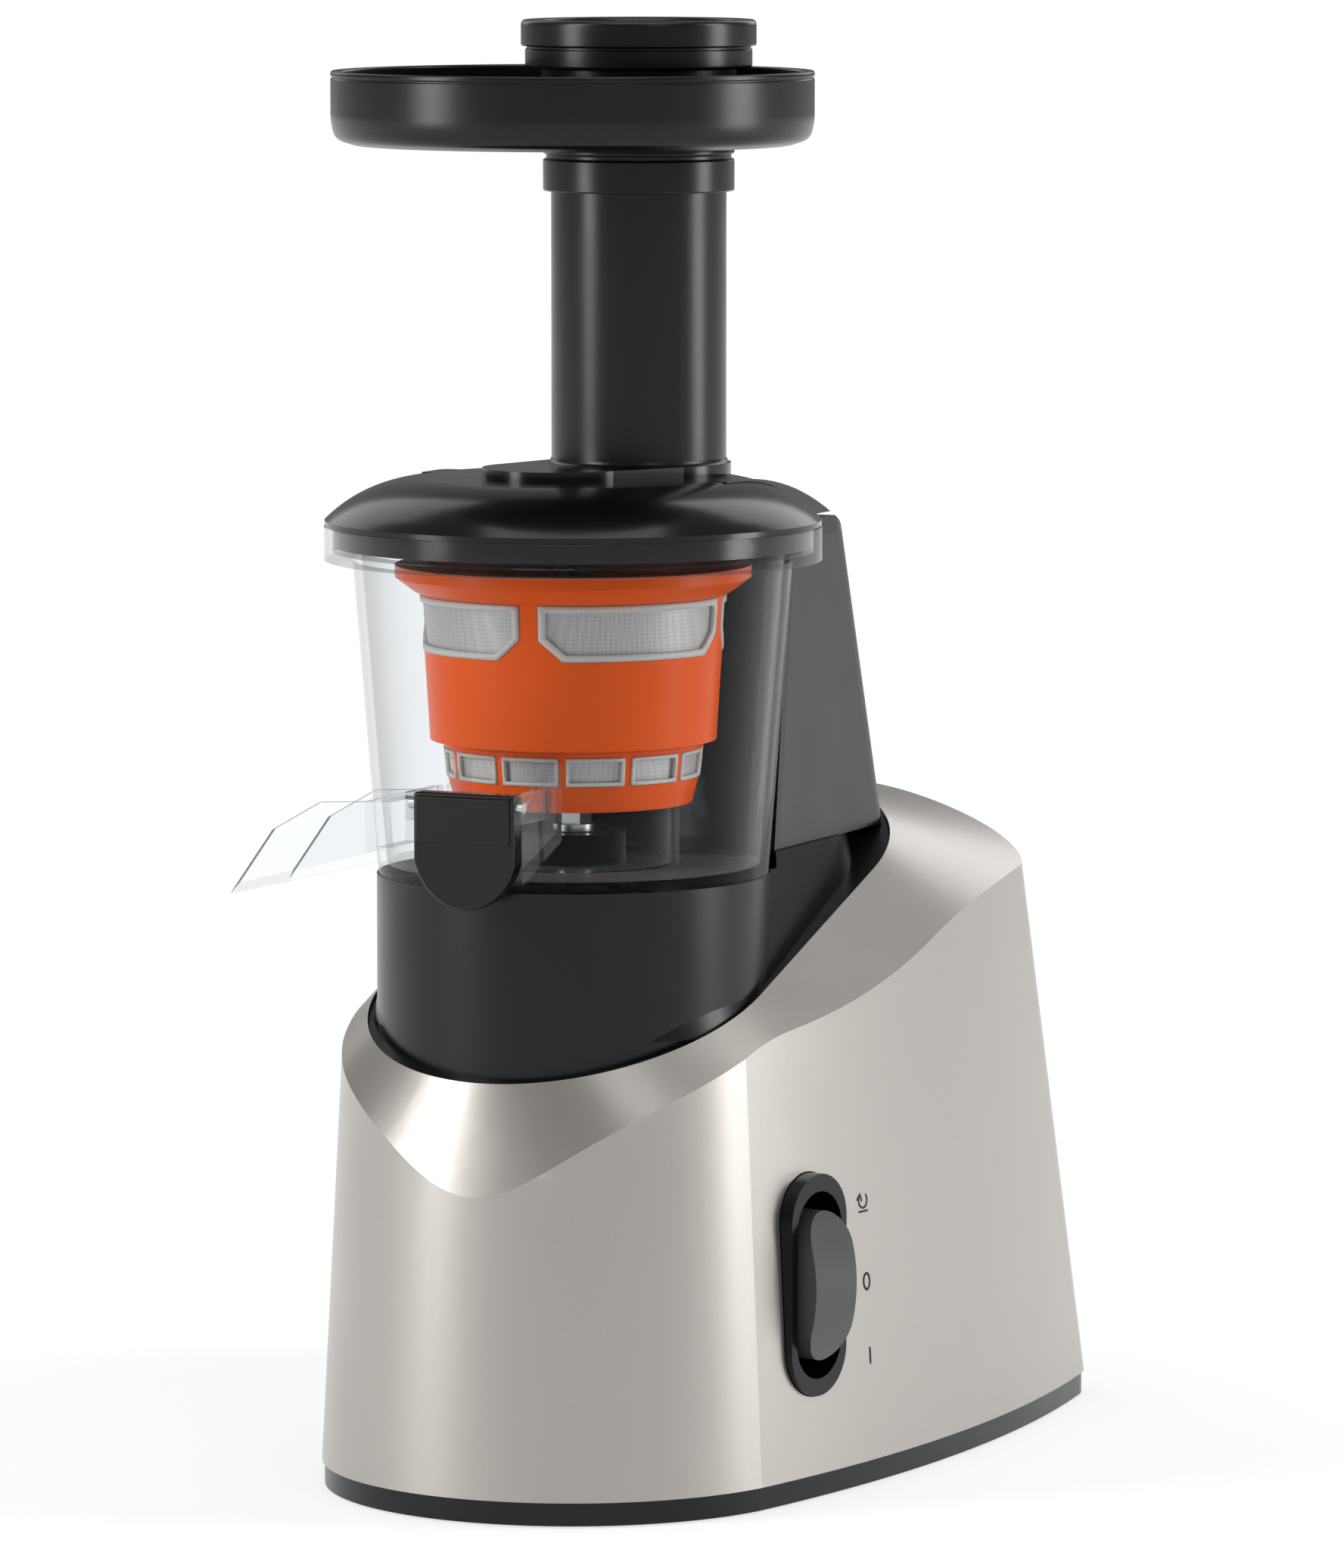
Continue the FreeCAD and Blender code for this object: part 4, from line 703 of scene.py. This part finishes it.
def stage_paint(name, color, glow_strength, near_share):
    """Pale floor paint that glows white for the camera, mirrors and clear parts.

    Near the part only a share of it glows, so that the part's soft shadow shows; farther off it
    is all white.
    """
    paint = Paint(name, color, rough=0.9)
    tree = paint.tree
    glow = tree.nodes.new("ShaderNodeEmission")
    glow.inputs["Strength"].default_value = glow_strength
    ways = tree.nodes.new("ShaderNodeLightPath")
    seen = calculate(tree, "MAXIMUM", ways.outputs["Is Camera Ray"], ways.outputs["Is Glossy Ray"])
    seen = calculate(tree, "MAXIMUM", seen, ways.outputs["Is Transmission Ray"])
    reach = tree.nodes.new("ShaderNodeVectorMath")
    reach.operation = "LENGTH"
    tree.links.new(paint.place.outputs["Object"], reach.inputs[0])
    fade = map_range(tree, reach.outputs["Value"], From_Min=FADE_NEAR, From_Max=FADE_FAR,
                     To_Min=near_share, To_Max=1.0)
    share = calculate(tree, "MULTIPLY", seen, fade)
    blend_shaders(tree, share, paint.shader.outputs["BSDF"], glow.outputs["Emission"],
                  "Material Output")
    return paint.material


FLOOR_HALF = 8.0
FADE_NEAR = 0.22
FADE_FAR = 0.45
floor = mesh_object("floor", [(-FLOOR_HALF, -FLOOR_HALF, 0), (FLOOR_HALF, -FLOOR_HALF, 0),
                              (FLOOR_HALF, FLOOR_HALF, 0), (-FLOOR_HALF, FLOOR_HALF, 0)],
                    [(0, 1, 2, 3)], False)
floor.data.materials.append(stage_paint("floor_white", (0.86, 0.86, 0.86), glow_strength=1.08,
                                        near_share=0.66))

world = bpy.data.worlds.new("studio")
bpy.context.scene.world = world
world.use_nodes = True
world_tree = world.node_tree
sky = world_tree.nodes["Background"]
sky.inputs["Color"].default_value = (1.0, 0.99, 0.98, 1.0)
sky.inputs["Strength"].default_value = 0.22
white = world_tree.nodes.new("ShaderNodeBackground")
white.inputs["Color"].default_value = (1.0, 1.0, 1.0, 1.0)
white.inputs["Strength"].default_value = 1.0
ways = world_tree.nodes.new("ShaderNodeLightPath")
seen = calculate(world_tree, "MAXIMUM", ways.outputs["Is Camera Ray"],
                 ways.outputs["Is Transmission Ray"])
blend_shaders(world_tree, seen, sky.outputs["Background"], white.outputs["Background"],
              "World Output")


LAMP_AIM = Vector((0.0, 0.03, 0.2))


def soft_box(name, turn, lift, far, width, height, power):
    """Area light at an angle from the camera's side, aimed at the part's middle."""
    angle = math.radians(CAMERA_TURN + turn)
    up = math.radians(lift)
    way = Vector((math.sin(angle) * math.cos(up), -math.cos(angle) * math.cos(up), math.sin(up)))
    data = bpy.data.lights.new(name, "AREA")
    data.shape = "RECTANGLE"
    data.size = width
    data.size_y = height
    data.energy = power
    lamp = bpy.data.objects.new(name, data)
    bpy.context.scene.collection.objects.link(lamp)
    lamp.location = LAMP_AIM + way * far
    lamp.rotation_mode = "QUATERNION"
    lamp.rotation_quaternion = (-way).to_track_quat("-Z", "Y")


# Degrees round and up from the camera's side, distance, width and height in metres, watts
LAMPS = [
    ("key_left", -68.0, 22.0, 1.5, 0.42, 1.3, 15.0),
    ("fill_right", 84.0, 18.0, 1.5, 0.45, 1.3, 15.0),
    ("front_fill", 20.0, 35.0, 2.4, 0.8, 0.8, 3.0),
    ("top_light", 0.0, 80.0, 1.6, 1.2, 1.2, 10.0),
    ("back_left", -150.0, 30.0, 1.6, 0.6, 1.2, 2.5),
    ("back_right", 150.0, 30.0, 1.6, 0.6, 1.2, 3.5),
]
for lamp_row in LAMPS:
    soft_box(*lamp_row)

camera_data = bpy.data.cameras.new("camera")
camera_data.lens = LENS
camera = bpy.data.objects.new("camera", camera_data)
bpy.context.scene.collection.objects.link(camera)
turn = math.radians(CAMERA_TURN)
away = Vector((-math.sin(turn), math.cos(turn), 0.0))
side = Vector((math.cos(turn), math.sin(turn), 0.0))
sideways = (CENTRE_PIXEL_X - AXIS_PIXEL_X) / FOCAL_PIXELS
drop = math.radians(CAMERA_DROP)
heading = away + side * sideways
heading.normalize()
look = heading * math.cos(drop) - Vector((0, 0, math.sin(drop)))
camera.location = -away * CAMERA_FAR + Vector((0, 0, CAMERA_HIGH))
camera.rotation_mode = "QUATERNION"
camera.rotation_quaternion = look.to_track_quat("-Z", "Y")
camera_data.clip_start = 0.1
camera_data.clip_end = 50.0
bpy.context.scene.camera = camera
bpy.context.scene.view_settings.view_transform = "Standard"
